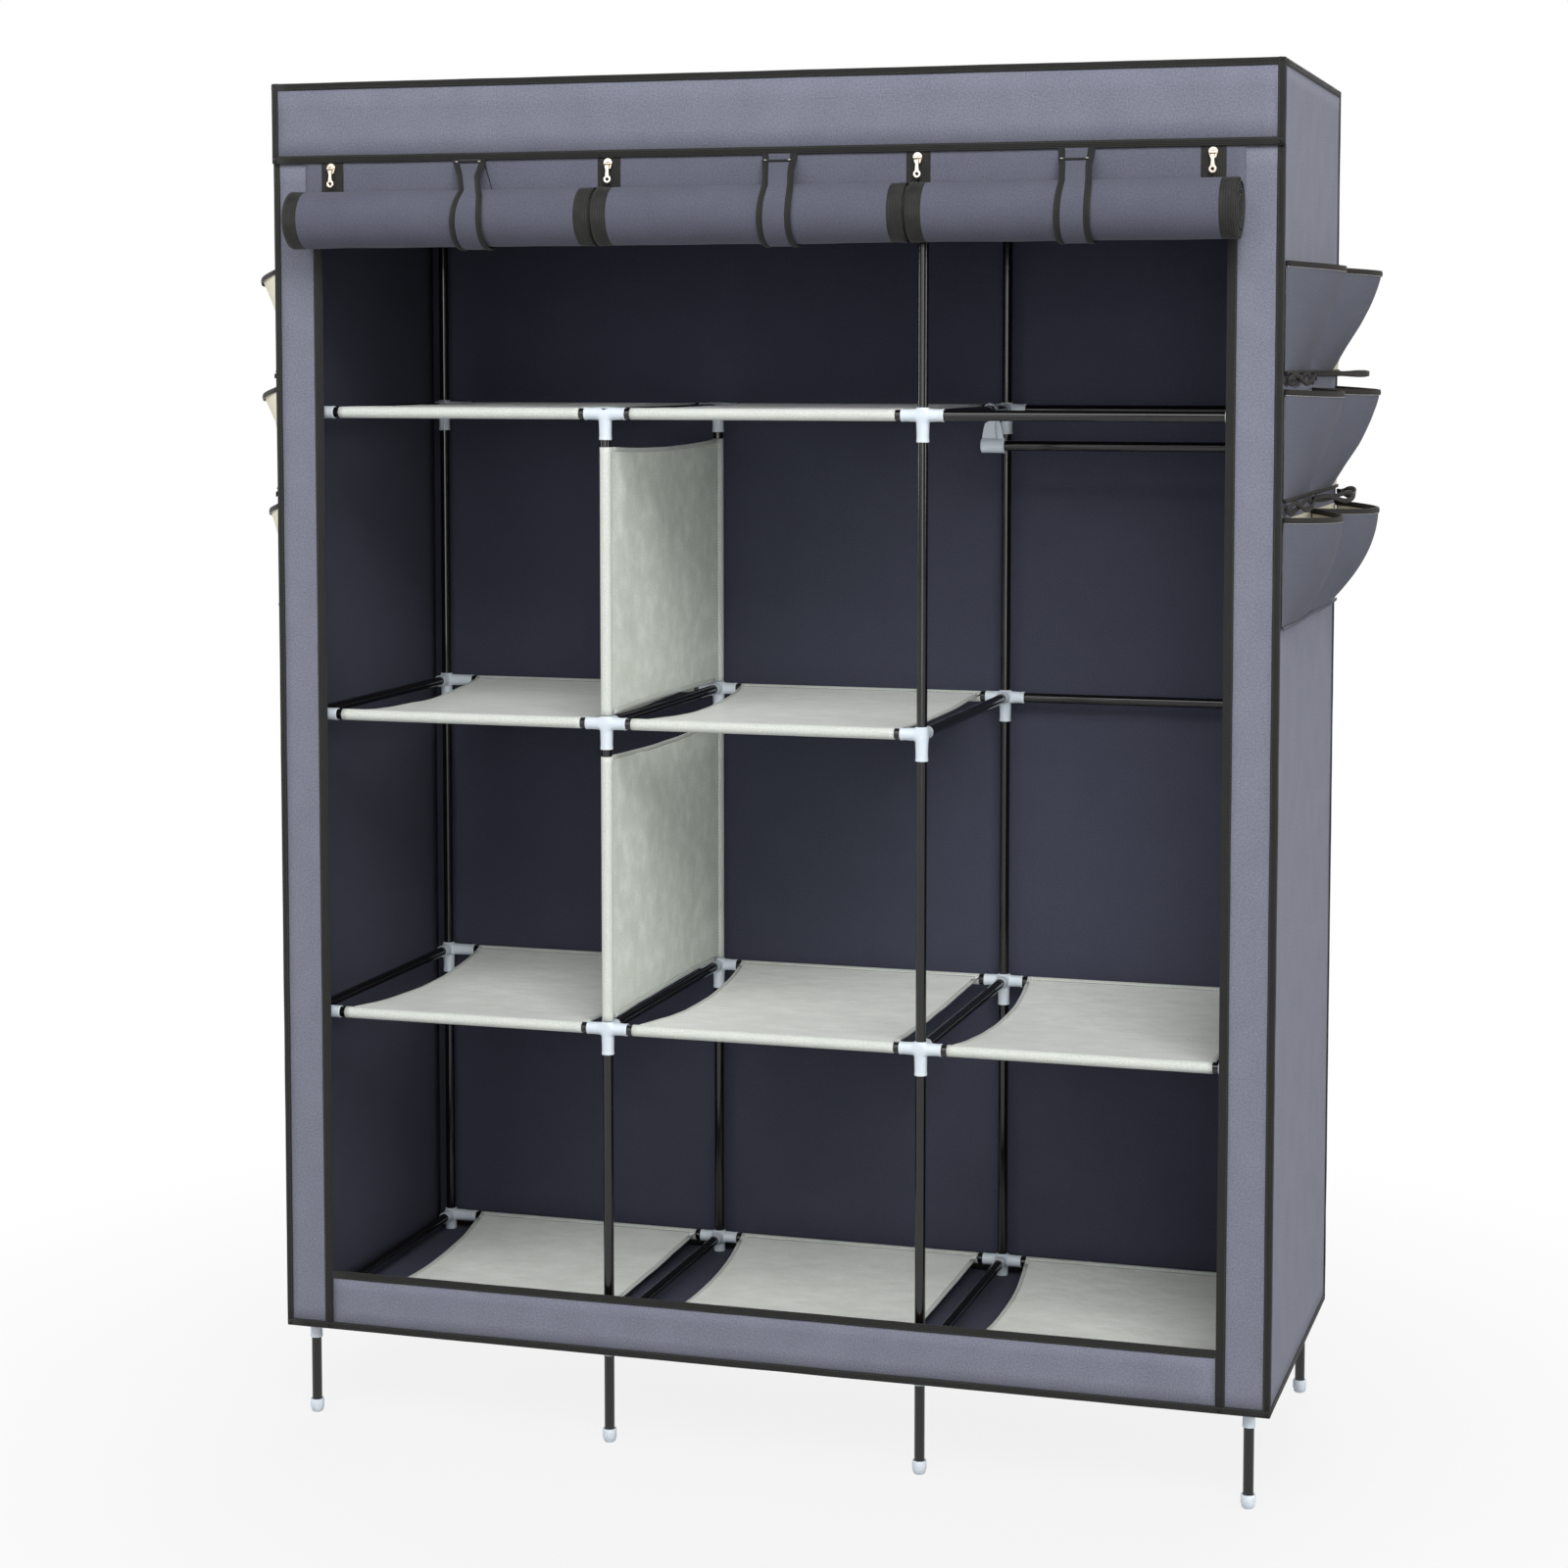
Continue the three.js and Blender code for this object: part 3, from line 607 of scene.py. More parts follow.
def stitches(
    edge: Sequence[Station],
    depth: float,
    height: float,
    pitch: float = 4.2 * MM,
    thread: float = 0.55 * MM,
) -> Mesh:
    """Sews a row of stitches beside an edge, each a short bead of thread.

    Args:
        edge: The stations of the edge.
        depth: How deep in the cloth the row lies.
        height: How high over its face.
        pitch: From one stitch to the next.
        thread: How thick the thread is.

    Returns:
        The mesh of the whole row.
    """
    spine = Line(tuple(station.offset(depth, height) for station in edge))
    mesh = bmesh.new()
    count = max(1, int(spine.length / pitch))
    for k in range(count):
        here, there = (spine.at((k + share) * spine.length / count) for share in (0.2, 0.8))
        run = there - here
        size = Vector((run.length, thread, thread))
        bead = Matrix.LocRotScale((here + there) / 2, run.to_track_quat("X", "Z"), size)
        bmesh.ops.create_cube(mesh, size=1.0, matrix=bead)
    return mesh


def rod(
    start: Vector,
    end: Vector,
    radius: float,
    wall: float = 0.7 * MM,
    sides: int = 36,
    open_depth: float = 6 * MM,
) -> Mesh:
    """Draws a tube between two points, open a little way at both ends.

    Args:
        start: The middle of one end.
        end: The middle of the other.
        radius: The tube's outer radius.
        wall: Its wall.
        sides: How many flats make it round.
        open_depth: How deep its open ends are.

    Returns:
        The mesh of the tube.
    """
    run = end - start
    mesh = bmesh.new()
    bmesh.ops.create_cone(
        mesh, cap_ends=True, segments=sides, radius1=radius, radius2=radius, depth=run.length
    )
    caps = [face for face in mesh.faces if len(face.verts) == sides]
    bmesh.ops.inset_individual(mesh, faces=caps, thickness=wall)
    for cap in caps:
        inward = -UP if cap.calc_center_median().z > 0 else UP
        bmesh.ops.translate(mesh, verts=extruded(mesh, cap).verts[:], vec=inward * open_depth)
    turn = run.to_track_quat("Z", "Y").to_matrix().to_4x4()
    bmesh.ops.transform(mesh, matrix=Matrix.Translation((start + end) / 2) @ turn, verts=mesh.verts[:])
    return mesh


def extruded(mesh: Mesh, face: Face) -> Face:
    """Returns the face that an extrusion of a face brings, still where the face was."""
    return bmesh.ops.extrude_discrete_faces(mesh, faces=[face])["faces"][0]


def lathe(profile: Iterable[Pair], steps: int = 36) -> Mesh:
    """Spins a profile about the Z axis.

    Args:
        profile: Radii and heights.
        steps: How many flats make a turn.

    Returns:
        The closed mesh.
    """
    mesh = bmesh.new()
    verts = [mesh.verts.new((radius, 0, height)) for radius, height in profile]
    geom = verts + [mesh.edges.new(pair) for pair in zip(verts, verts[1:])]
    turn = {"cent": (0, 0, 0), "axis": UP, "dvec": (0, 0, 0), "angle": FULL_TURN, "steps": steps}
    bmesh.ops.spin(mesh, geom=geom, use_merge=True, use_duplicate=False, **turn)
    bmesh.ops.remove_doubles(mesh, verts=mesh.verts[:], dist=0.001 * MM)
    bmesh.ops.recalc_face_normals(mesh, faces=mesh.faces[:])
    return mesh


def join_in(mesh: Mesh, extra: Mesh) -> None:
    """Adds a mesh to another.

    Args:
        mesh: The mesh that grows.
        extra: The one that is added and freed.
    """
    data = bpy.data.meshes.new("joined")
    extra.to_mesh(data)
    extra.free()
    mesh.from_mesh(data)
    bpy.data.meshes.remove(data)


def make_piece(mesh: Mesh, name: str, finishes: Sequence[Finish], sharp: float = 40.0) -> Piece:
    """Makes an object of a mesh.

    Args:
        mesh: The mesh, which is freed.
        name: The piece's name.
        finishes: One finish for each material number of its faces.
        sharp: The angle in degrees past which an edge isn't shaded smooth.

    Returns:
        The new object, in the scene.
    """
    data = bpy.data.meshes.new(name)
    mesh.to_mesh(data)
    mesh.free()
    for finish in finishes:
        data.materials.append(finish.material())
    data.shade_smooth()
    data.set_sharp_from_angle(angle=math.radians(sharp))
    piece = bpy.data.objects.new(name, data)
    bpy.context.scene.collection.objects.link(piece)
    return piece


def modify(piece: Piece, name: str, kind: str, **settings: object) -> None:
    """Adds a modifier.

    Args:
        piece: The piece that gets it.
        name: The modifier's name.
        kind: Blender's name of its type.
        settings: Its own properties.
    """
    added = piece.modifiers.new(name, kind)
    for key, value in settings.items():
        setattr(added, key, value)


def thicken(piece: Piece, cloth: float, offset: float = 0.0, reverse: int = 0) -> None:
    """Gives a cloth its thickness: behind the face at an offset of -1, half on each side at 0."""
    facts = {"thickness": cloth, "offset": offset, "material_offset": reverse}
    modify(piece, "cloth", "SOLIDIFY", use_even_offset=True, **facts)


def soften(piece: Piece, levels: int = 2) -> None:
    """Rounds a piece off with a subdivision surface, in the view and in a render alike."""
    modify(piece, "rounding", "SUBSURF", levels=levels, render_levels=levels)


def ease_edges(piece: Piece, width: float, segments: int = 2, angle: float = 35) -> None:
    """Breaks the edges of a piece that are sharper than an angle with a small bevel."""
    facts = {"width": width, "segments": segments, "angle_limit": math.radians(angle)}
    modify(piece, "eased_edges", "BEVEL", limit_method="ANGLE", **facts)


def flatten(piece: Piece) -> None:
    """Makes a piece's mesh final by applying its modifiers.

    A wall that Solidify still gives a folded mesh grows spikes, so the modifiers are applied.

    Args:
        piece: The soft piece.
    """
    bpy.context.view_layer.update()
    shown = piece.evaluated_get(bpy.context.evaluated_depsgraph_get())
    final = bpy.data.meshes.new_from_object(shown)
    piece.modifiers.clear()
    piece.data = final
    final.name = piece.name
    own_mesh(piece)


def settle(piece: Piece, body: str, slot: str, *replaced: str) -> Piece:
    """Puts a finished piece on its body.

    Args:
        piece: The piece.
        body: The body that it moves with.
        slot: Not used.
        replaced: The CAD nodes that it stands for.

    Returns:
        The piece.
    """
    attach(piece, body)
    if replaced:
        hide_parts(*replaced)
    LOG.info("%s rides on %s", piece.name, body)
    return piece


def add_tube(name: str, ends: Sequence[Vector], radius: float, body: str, node: str) -> None:
    """Adds an enamelled tube between two points, for a CAD node on a body."""
    settle(make_piece(rod(*ends, radius), name, [TUBE]), body, TUBE.slot, node)


# Where things are


@dataclass(frozen=True)
class Layout:
    """Where the tubes and the faces of the cover lie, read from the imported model."""

    posts: tuple[float, ...]
    rows: dict[str, float]
    levels: tuple[float, ...]
    heads: tuple[float, ...]
    tube_radius: float
    cover_low: Vector
    cover_high: Vector
    header_bottom: float
    # The strips and sides of the cover lie this far behind the header.
    header_lap: float = 3.6 * MM

    @property
    def strip_front(self) -> float:
        """Where, front to back, the front of the strips and sides of the cover lies."""
        return self.cover_low.y + self.header_lap

    @classmethod
    def of_frame(cls, collar: float = 10 * MM, crown: float = 24 * MM, gap: float = 0.3 * MM) -> Layout:
        """Reads the layout.

        Args:
            collar: How far a CAD connector reaches over the axis of its rails.
            crown: The same on the top level.
            gap: Between pieces that touch.

        Returns:
            The layout.
        """
        boxes = [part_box(f"post_front_{k}") for k in (1, 2, 3, 4)]
        low, high = boxes[0]
        back_low, back_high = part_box("post_back_1")
        levels = [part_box(f"frame_level_{k}")[1].z - collar for k in (1, 2, 3, 4)]
        levels.append(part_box("frame_top")[1].z - crown)
        cover_low, cover_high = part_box("cover")
        return cls(
            posts=tuple((a.x + b.x) / 2 for a, b in boxes),
            rows={"front": (low.y + high.y) / 2, "back": (back_low.y + back_high.y) / 2},
            levels=tuple(levels),
            heads=tuple(b.z for _, b in boxes),
            tube_radius=(high.x - low.x) / 2,
            cover_low=cover_low,
            cover_high=cover_high,
            header_bottom=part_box("door_sheet_left")[1].z + gap,
        )

    def stands_at(self, post: int, level: int) -> bool:
        """Tells whether a pair of posts reaches a level."""
        return self.heads[post] > self.levels[level]


# Frame


class Mouth(Enum):
    """How an arm of a connector ends."""

    SOCKET = "socket"
    CAP = "cap"
    CROWN = "crown"


@dataclass(frozen=True)
class Arm:
    """One arm of a connector."""

    way: Vector
    length: float
    mouth: Mouth


@dataclass(frozen=True)
class Connector:
    """A moulded fitting: a rounded hub with a tapered, beaded socket for each tube."""

    arms: tuple[Arm, ...]
    radius: float = 8.2 * MM
    bore: float = 6.8 * MM
    taper_share: float = 0.93
    bead: float = 3.0 * MM
    root: float = 1.2 * MM
    lip: float = 0.5 * MM
    socket_depth: float = 5 * MM
    cap_edge: float = 1.2 * MM
    crown_rings: tuple[Pair, ...] = ((10 * MM, 1.0), (15 * MM, 0.92), (20 * MM, 0.76))
    crown_edge: float = 0.6 * MM
    # A subdivided square ends up this share of its half diagonal away from its middle.
    round_share: float = 0.66

    def build(self) -> Mesh:
        """Builds the hub and grows each arm from one of its faces.

        Returns:
            The control mesh of the fitting, about its own middle.
        """
        half = self.radius / (self.round_share * math.sqrt(2))
        mesh = bmesh.new()
        bmesh.ops.create_cube(mesh, size=2 * half)
        for arm in self.arms:
            foot = arm.way * half
            face = min(mesh.faces, key=lambda f: (f.calc_center_median() - foot).length)
            for distance, share in self.rings(arm, half):
                face = self.grown(mesh, face, arm.way, distance, share * half)
        return mesh

    def rings(self, arm: Arm, half: float) -> Sequence[Pair]:
        """Works out the rings of an arm.

        Args:
            arm: The arm.
            half: Half the hub's width.

        Returns:
            How far out each ring lies, and its share of the hub's width.
        """
        end = arm.length
        if arm.mouth is Mouth.CAP:
            return (end - self.cap_edge, 1.0), (end, 0.96)
        if arm.mouth is Mouth.CROWN:
            return *self.crown_rings, (end - self.crown_edge, 0.6), (end, 0.5)
        inner = self.bore / self.radius
        return (
            (half + self.root, 1.0),
            (end - self.bead - self.lip, self.taper_share),
            (end - self.bead, 1.0),
            (end - self.lip, 1.0),
            (end, 0.97),
            (end, inner),
            (end - self.socket_depth, inner * 0.98),
        )

    @staticmethod
    def grown(mesh: Mesh, face: Face, way: Vector, distance: float, half: float) -> Face:
        """Extrudes a face to a distance from the hub's middle and gives it a half width.

        Args:
            mesh: The control mesh.
            face: The face at the arm's end.
            way: The arm's direction.
            distance: Where the new ring lies along the arm.
            half: Half the new ring's width.

        Returns:
            The new end face.
        """
        made = extruded(mesh, face)
        for vert in made.verts:
            aside = vert.co - way * vert.co.dot(way)
            vert.co = way * distance + aside.normalized() * half * math.sqrt(2)
        return made


@dataclass(frozen=True)
class FootCap:
    """A moulded cap under a post: a tapered cup with a thick floor."""

    node: str
    tube_radius: float
    slack: float = 0.3 * MM
    floor: float = 3 * MM
    # How far in from the outer radius, and how far up from the ground, the foot's rings lie.
    foot_rings: tuple[Pair, ...] = ((2.6 * MM, 0), (1.6 * MM, 1 * MM), (0.5 * MM, 5 * MM), (0, 6.5 * MM))
    rim: float = 0.5 * MM
    rim_drop: float = 1.2 * MM
    mouth: float = 0.4 * MM
    mouth_drop: float = 0.6 * MM

    def build(self) -> None:
        """Builds the cap in its CAD node's place."""
        low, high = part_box(self.node)
        middle = (low + high) / 2
        radius, height = (high.x - low.x) / 2, high.z - low.z
        bore = self.tube_radius + self.slack
        foot = [(radius - inset, rise) for inset, rise in self.foot_rings]
        rim = [(radius, height - self.rim_drop), (radius - self.rim, height)]
        mouth = [(bore + self.mouth, height), (bore, height - self.mouth_drop)]
        cup = lathe([(0, 0), *foot, *rim, *mouth, (bore, self.floor), (0, self.floor)])
        bmesh.ops.translate(cup, verts=cup.verts[:], vec=(middle.x, middle.y, low.z))
        cap = make_piece(cup, f"cap_{self.node}", [FITTING], sharp=50)
        settle(cap, "wardrobe", FITTING.slot, self.node)


@dataclass(frozen=True)
class TubeFrame:
    """The frame: posts, rails and depth tubes pushed into moulded connectors, on foot caps."""

    layout: Layout
    arm_length: float = 27 * MM
    down_arm: float = 33 * MM
    corner_leg_arm: float = 46 * MM
    end_arm: float = 41 * MM
    collar: float = 10 * MM
    # Less than the CAD model's, so that the top's sag doesn't let it show.
    crown: float = 22 * MM
    hanging_level: int = 2

    def build(self) -> None:
        """Builds every tube, connector and foot cap."""
        for row in self.layout.rows:
            for post in range(len(self.layout.posts)):
                self.post(f"post_{row}_{post + 1}")
                FootCap(f"foot_{row}_{post + 1}", self.layout.tube_radius).build()
        for level in range(len(self.layout.levels)):
            self.level(level)

    def node(self, level: int) -> str:
        """Returns the name of the CAD node of a level."""
        return "frame_top" if level == len(self.layout.levels) - 1 else f"frame_level_{level + 1}"

    def post(self, node: str) -> None:
        """Builds a post.

        Args:
            node: Its CAD node.
        """
        low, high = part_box(node)
        middle = (low + high) / 2
        ends = [Vector((middle.x, middle.y, z)) for z in (low.z, high.z)]
        add_tube(f"tube_{node}", ends, self.layout.tube_radius, "wardrobe", node)

    def rails(self, row: str, level: int) -> list[tuple[int, int]]:
        """Lists the rails of a row at a level.

        Args:
            row: The front or the back row.
            level: The level, from 0 at the bottom.

        Returns:
            The posts at each rail's ends.
        """
        ends = [k for k in range(len(self.layout.posts)) if self.layout.stands_at(k, level)]
        pairs = list(zip(ends, ends[1:]))
        if row == "front" and level == self.hanging_level:
            pairs.pop()
        return pairs

    def level(self, level: int) -> None:
        """Builds the rails, depth tubes and connectors of one level.

        Args:
            level: The level, from 0 at the bottom.
        """
        place = self.layout
        z = place.levels[level]
        standing = [post for post in range(len(place.posts)) if place.stands_at(post, level)]
        for row, y in place.rows.items():
            for start, stop in self.rails(row, level):
                ends = [Vector((place.posts[k], y, z)) for k in (start, stop)]
                name = f"rail_{row}_level_{level + 1}_bay_{start + 1}"
                add_tube(name, ends, place.tube_radius, "wardrobe", self.node(level))
            for post in standing:
                self.connector(row, post, level)
        for post in standing:
            ends = [Vector((place.posts[post], y, z)) for y in place.rows.values()]
            name = f"depth_tube_level_{level + 1}_post_{post + 1}"
            add_tube(name, ends, place.tube_radius, "wardrobe", self.node(level))

    def connector(self, row: str, post: int, level: int) -> None:
        """Builds the connector of a post at a level.

        Args:
            row: The front or the back row.
            post: The post, from 0 at the left.
            level: The level, from 0 at the bottom.
        """
        place = self.layout
        rails = self.rails(row, level)
        at_end = post in (0, len(place.posts) - 1)
        reach = self.end_arm if at_end else self.arm_length
        arms = [
            Arm(-UP, self.corner_leg_arm if at_end and level == 0 else self.down_arm, Mouth.SOCKET),
            Arm(BACK if row == "front" else -BACK, self.arm_length, Mouth.SOCKET),
        ]
        if any(stop == post for _, stop in rails):
            arms.append(Arm(-RIGHT, reach, Mouth.SOCKET))
        if any(start == post for start, _ in rails):
            arms.append(Arm(RIGHT, reach, Mouth.SOCKET))
        if level == len(place.levels) - 1:
            arms.append(Arm(UP, self.crown, Mouth.CROWN))
        elif place.stands_at(post, level + 1):
            arms.append(Arm(UP, self.collar, Mouth.CAP))
        mesh = Connector(tuple(arms)).build()
        at = (place.posts[post], place.rows[row], place.levels[level])
        bmesh.ops.translate(mesh, verts=mesh.verts[:], vec=at)
        fitting = make_piece(mesh, f"connector_{row}_level_{level + 1}_post_{post + 1}", [FITTING], 180)
        soften(fitting)
        settle(fitting, "wardrobe", FITTING.slot, self.node(level))


# Shelves and dividers


@dataclass(frozen=True)
class SleevedCloth:
    """A cloth with a sleeve along two edges, each over a tube.

    The cloth is cut as one strip. It starts at the seam of one sleeve, goes round the tube,
    across to the other tube, round that, and ends at its seam.
    """

    name: str
    finishes: tuple[Cloth, Cloth]
    rows: Pair
    tube_radius: float
    ends: Pair
    axis_at: float
    upright: bool
    sag: float
    rise: float
    hollows: Pair
    rests_on: str
    cloth: float = 0.7 * MM
    slack: float = 0.15 * MM
    span_steps: int = 30
    turn_steps: int = 20
    width_steps: int = 44
    tuck: float = 24
    hem: float = 5 * MM
    hem_fold: float = 0.6 * MM
    hem_lift: float = 0.45 * MM
    hem_cloth: float = 0.5 * MM
    seam_inset: float = 2.2 * MM
    wrinkle: float = 1.3 * MM
    long_fold: float = 90 * MM
    short_fold: float = 30 * MM

    @property
    def sleeve_radius(self) -> float:
        """The radius of a sleeve, to the middle of its cloth."""
        return self.tube_radius + self.slack + self.cloth / 2

    @property
    def reach(self) -> float:
        """How far from its tube's axis the cloth leaves a sleeve."""
        return math.sqrt(self.sleeve_radius**2 - self.rise**2)

    @cached_property
    def line(self) -> Line:
        """Lays the strip's line, in the plane that the tubes pass through.

        Returns:
            The line, from the seam of the front sleeve to that of the back one.
        """
        radius = self.sleeve_radius
        lift = math.degrees(math.asin(self.rise / radius))
        front, back = (Vector((y, self.axis_at)) for y in self.rows)
        start, stop = self.rows[0] + self.reach, self.rows[1] - self.reach
        points = arc(front, radius, lift - self.tuck, lift - 360, self.turn_steps)
        for share in evenly(0, 1, self.span_steps)[1:-1]:
            height = self.axis_at + self.rise - self.sag * arch(share)
            points.append(Vector((start + (stop - start) * share, height)))
        points += arc(back, radius, 180 - lift, self.tuck - 180 - lift, self.turn_steps)
        return Line(tuple(points))

    def share_across(self, y: float) -> float:
        """Returns how far across the span a point lies, from 0 to 1."""
        start, stop = self.rows[0] + self.sleeve_radius, self.rows[1] - self.sleeve_radius
        return min(max((y - start) / (stop - start), 0.0), 1.0)

    def point(self, share: float, at: Vector) -> Vector:
        """Returns a point of the hung cloth.

        Args:
            share: How far across the cloth it lies, from 0 to 1.
            at: Its point on the strip's line.

        Returns:
            The point.
        """
        span = arch(self.share_across(at.x))
        near = self.ends[0] + self.hollows[0] * span
        far = self.ends[1] - self.hollows[1] * span
        along = near + (far - near) * share
        seed = self.axis_at * 7 + self.ends[0] * 3
        long_folds = crease(Vector((along * 0.35, at.x, 0.0)), self.long_fold, seed)
        short_folds = crease(Vector((along, at.x, 0.0)), self.short_fold, seed + 5)
        height = at.y + self.wrinkle * min(1.0, 2.5 * span) * (long_folds + 0.4 * short_folds)
        return Vector((height, at.x, along)) if self.upright else Vector((along, at.x, height))

    def build(self) -> None:
        width, spots = self.ends[1] - self.ends[0], self.line.spots
        columns = evenly(0, width, self.width_steps)
        mesh = cloth_grid(columns, self.line.distances, lambda u, v: self.point(u / width, spots[v]))
        # The faces round the tubes take the second finish, the greyer copy that paints the sleeves'
        # shade.
        for face in mesh.faces:
            middle = sum((vert.co.y for vert in face.verts), 0.0) / len(face.verts)
            face.material_index = int(self.share_across(middle) in (0.0, 1.0))
        if self.upright:
            bmesh.ops.reverse_faces(mesh, faces=mesh.faces[:])
        cloth = make_piece(mesh, f"cloth_{self.name}", self.finishes)
        thicken(cloth, self.cloth)
        settle(cloth, "wardrobe", self.finishes[0].slot, self.name)
        extras = [self.side_hem(0), self.side_hem(1), self.seams()]
        flat = (width, self.line.length)

    def side_hem(self, side: int) -> Piece:
        """Builds the folded hem along one side of the cloth, where it spans the gap.

        Args:
            side: 0 for the side where the cloth starts and 1 for the other.

        Returns:
            The hem.
        """
        half, lift, fold = self.cloth / 2, self.hem_lift, self.hem_fold
        section = [
            (self.hem, half + lift / 2),
            (self.hem * 0.5, half + lift),
            (fold, half + lift),
            (-fold, half),
            (-fold, -half),
            (fold, -half - lift),
            (self.hem, -half - lift / 2),
        ]
        inward, outward = (UP, RIGHT) if self.upright else (RIGHT, UP)
        inward = -inward if side == 1 else inward
        spots = [spot for spot in self.line.points if 0 < self.share_across(spot.x) < 1]
        mesh = carry(section, [Station(self.point(side, spot), inward, outward) for spot in spots])
        bmesh.ops.recalc_face_normals(mesh, faces=mesh.faces[:])
        # The hem takes the greyer copy too, painted shade.
        hem = make_piece(mesh, f"hem_{side + 1}_{self.name}", [self.finishes[1]])
        thicken(hem, self.hem_cloth, offset=1)
        return settle(hem, "wardrobe", self.finishes[1].slot)

    def seams(self) -> Piece:
        """Builds the stitching that closes both sleeves.

        Returns:
            The stitches of both seams.
        """
        mesh = bmesh.new()
        outward = RIGHT if self.upright else UP
        for y, inward in ((self.rows[0], 1), (self.rows[1], -1)):
            at = Vector((y + inward * (self.reach + self.seam_inset), self.axis_at + self.rise))
            edge = [Station(self.point(share, at), BACK, outward) for share in evenly(0.01, 0.99, 12)]
            join_in(mesh, stitches(edge, 0, self.cloth / 2 + 0.1 * MM))
        return settle(make_piece(mesh, f"seams_{self.name}", [DARK_THREAD]), "wardrobe", "lining")


@dataclass(frozen=True)
class Lining:
    """The shelves and the two upright dividers, all of the same pale cloth."""

    layout: Layout
    shelves_at: tuple[int, ...] = (3, 3, 2, 2)
    sags: tuple[float, ...] = (11 * MM, 10 * MM, 9 * MM, 1 * MM)
    rises: tuple[float, ...] = (4 * MM, 4 * MM, 4 * MM, 6.4 * MM)
    side_hollows: Pair = (16 * MM, 7 * MM)
    divider_post: int = 1
    divider_hollows: Pair = (3 * MM, 6 * MM)
    divider_rise: float = 1 * MM
    divider_wrinkle: float = 3.5 * MM
    end_bay_cut: float = 14 * MM

    def build(self) -> None:
        """Builds every shelf and divider."""
        for level, bays in enumerate(self.shelves_at):
            for bay in range(bays):
                self.shelf(level, bay)
        self.divider("divider_lower")
        self.divider("divider_upper")

    def cloth(self, name: str, face: Cloth, **facts: object) -> SleevedCloth:
        """Returns a cloth sleeved over the front and the back tubes."""
        rows, radius = tuple(self.layout.rows.values()), self.layout.tube_radius
        return SleevedCloth(name, (face, SLEEVE_SHADE_CLOTH), rows=rows, tube_radius=radius, **facts)

    def shelf(self, level: int, bay: int) -> None:
        """Builds a shelf.

        Args:
            level: Its level, from 0 at the bottom.
            bay: Its bay, from 0 at the left.
        """
        name = f"shelf_level_{level + 1}_bay_{bay + 1}"
        low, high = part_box(name)
        first, last = bay == 0, bay == len(self.layout.posts) - 2
        self.cloth(
            name,
            SHELF_CLOTH,
            ends=(low.x + self.end_bay_cut * first, high.x - self.end_bay_cut * last),
            axis_at=self.layout.levels[level],
            upright=False,
            sag=self.sags[level],
            rise=self.rises[level],
            hollows=self.side_hollows,
            rests_on=f"frame_level_{level + 1}",
        ).build()

    def divider(self, name: str) -> None:
        """Builds a divider between the shelves of the first two bays.

        Args:
            name: Its CAD node.
        """
        low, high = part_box(name)
        self.cloth(
            name,
            DIVIDER_CLOTH,
            ends=(low.z, high.z),
            axis_at=self.layout.posts[self.divider_post],
            upright=True,
            sag=0.0,
            rise=self.divider_rise,
            hollows=self.divider_hollows,
            rests_on=f"post_front_{self.divider_post + 1}",
            wrinkle=self.divider_wrinkle,
        ).build()


# Hanging rod


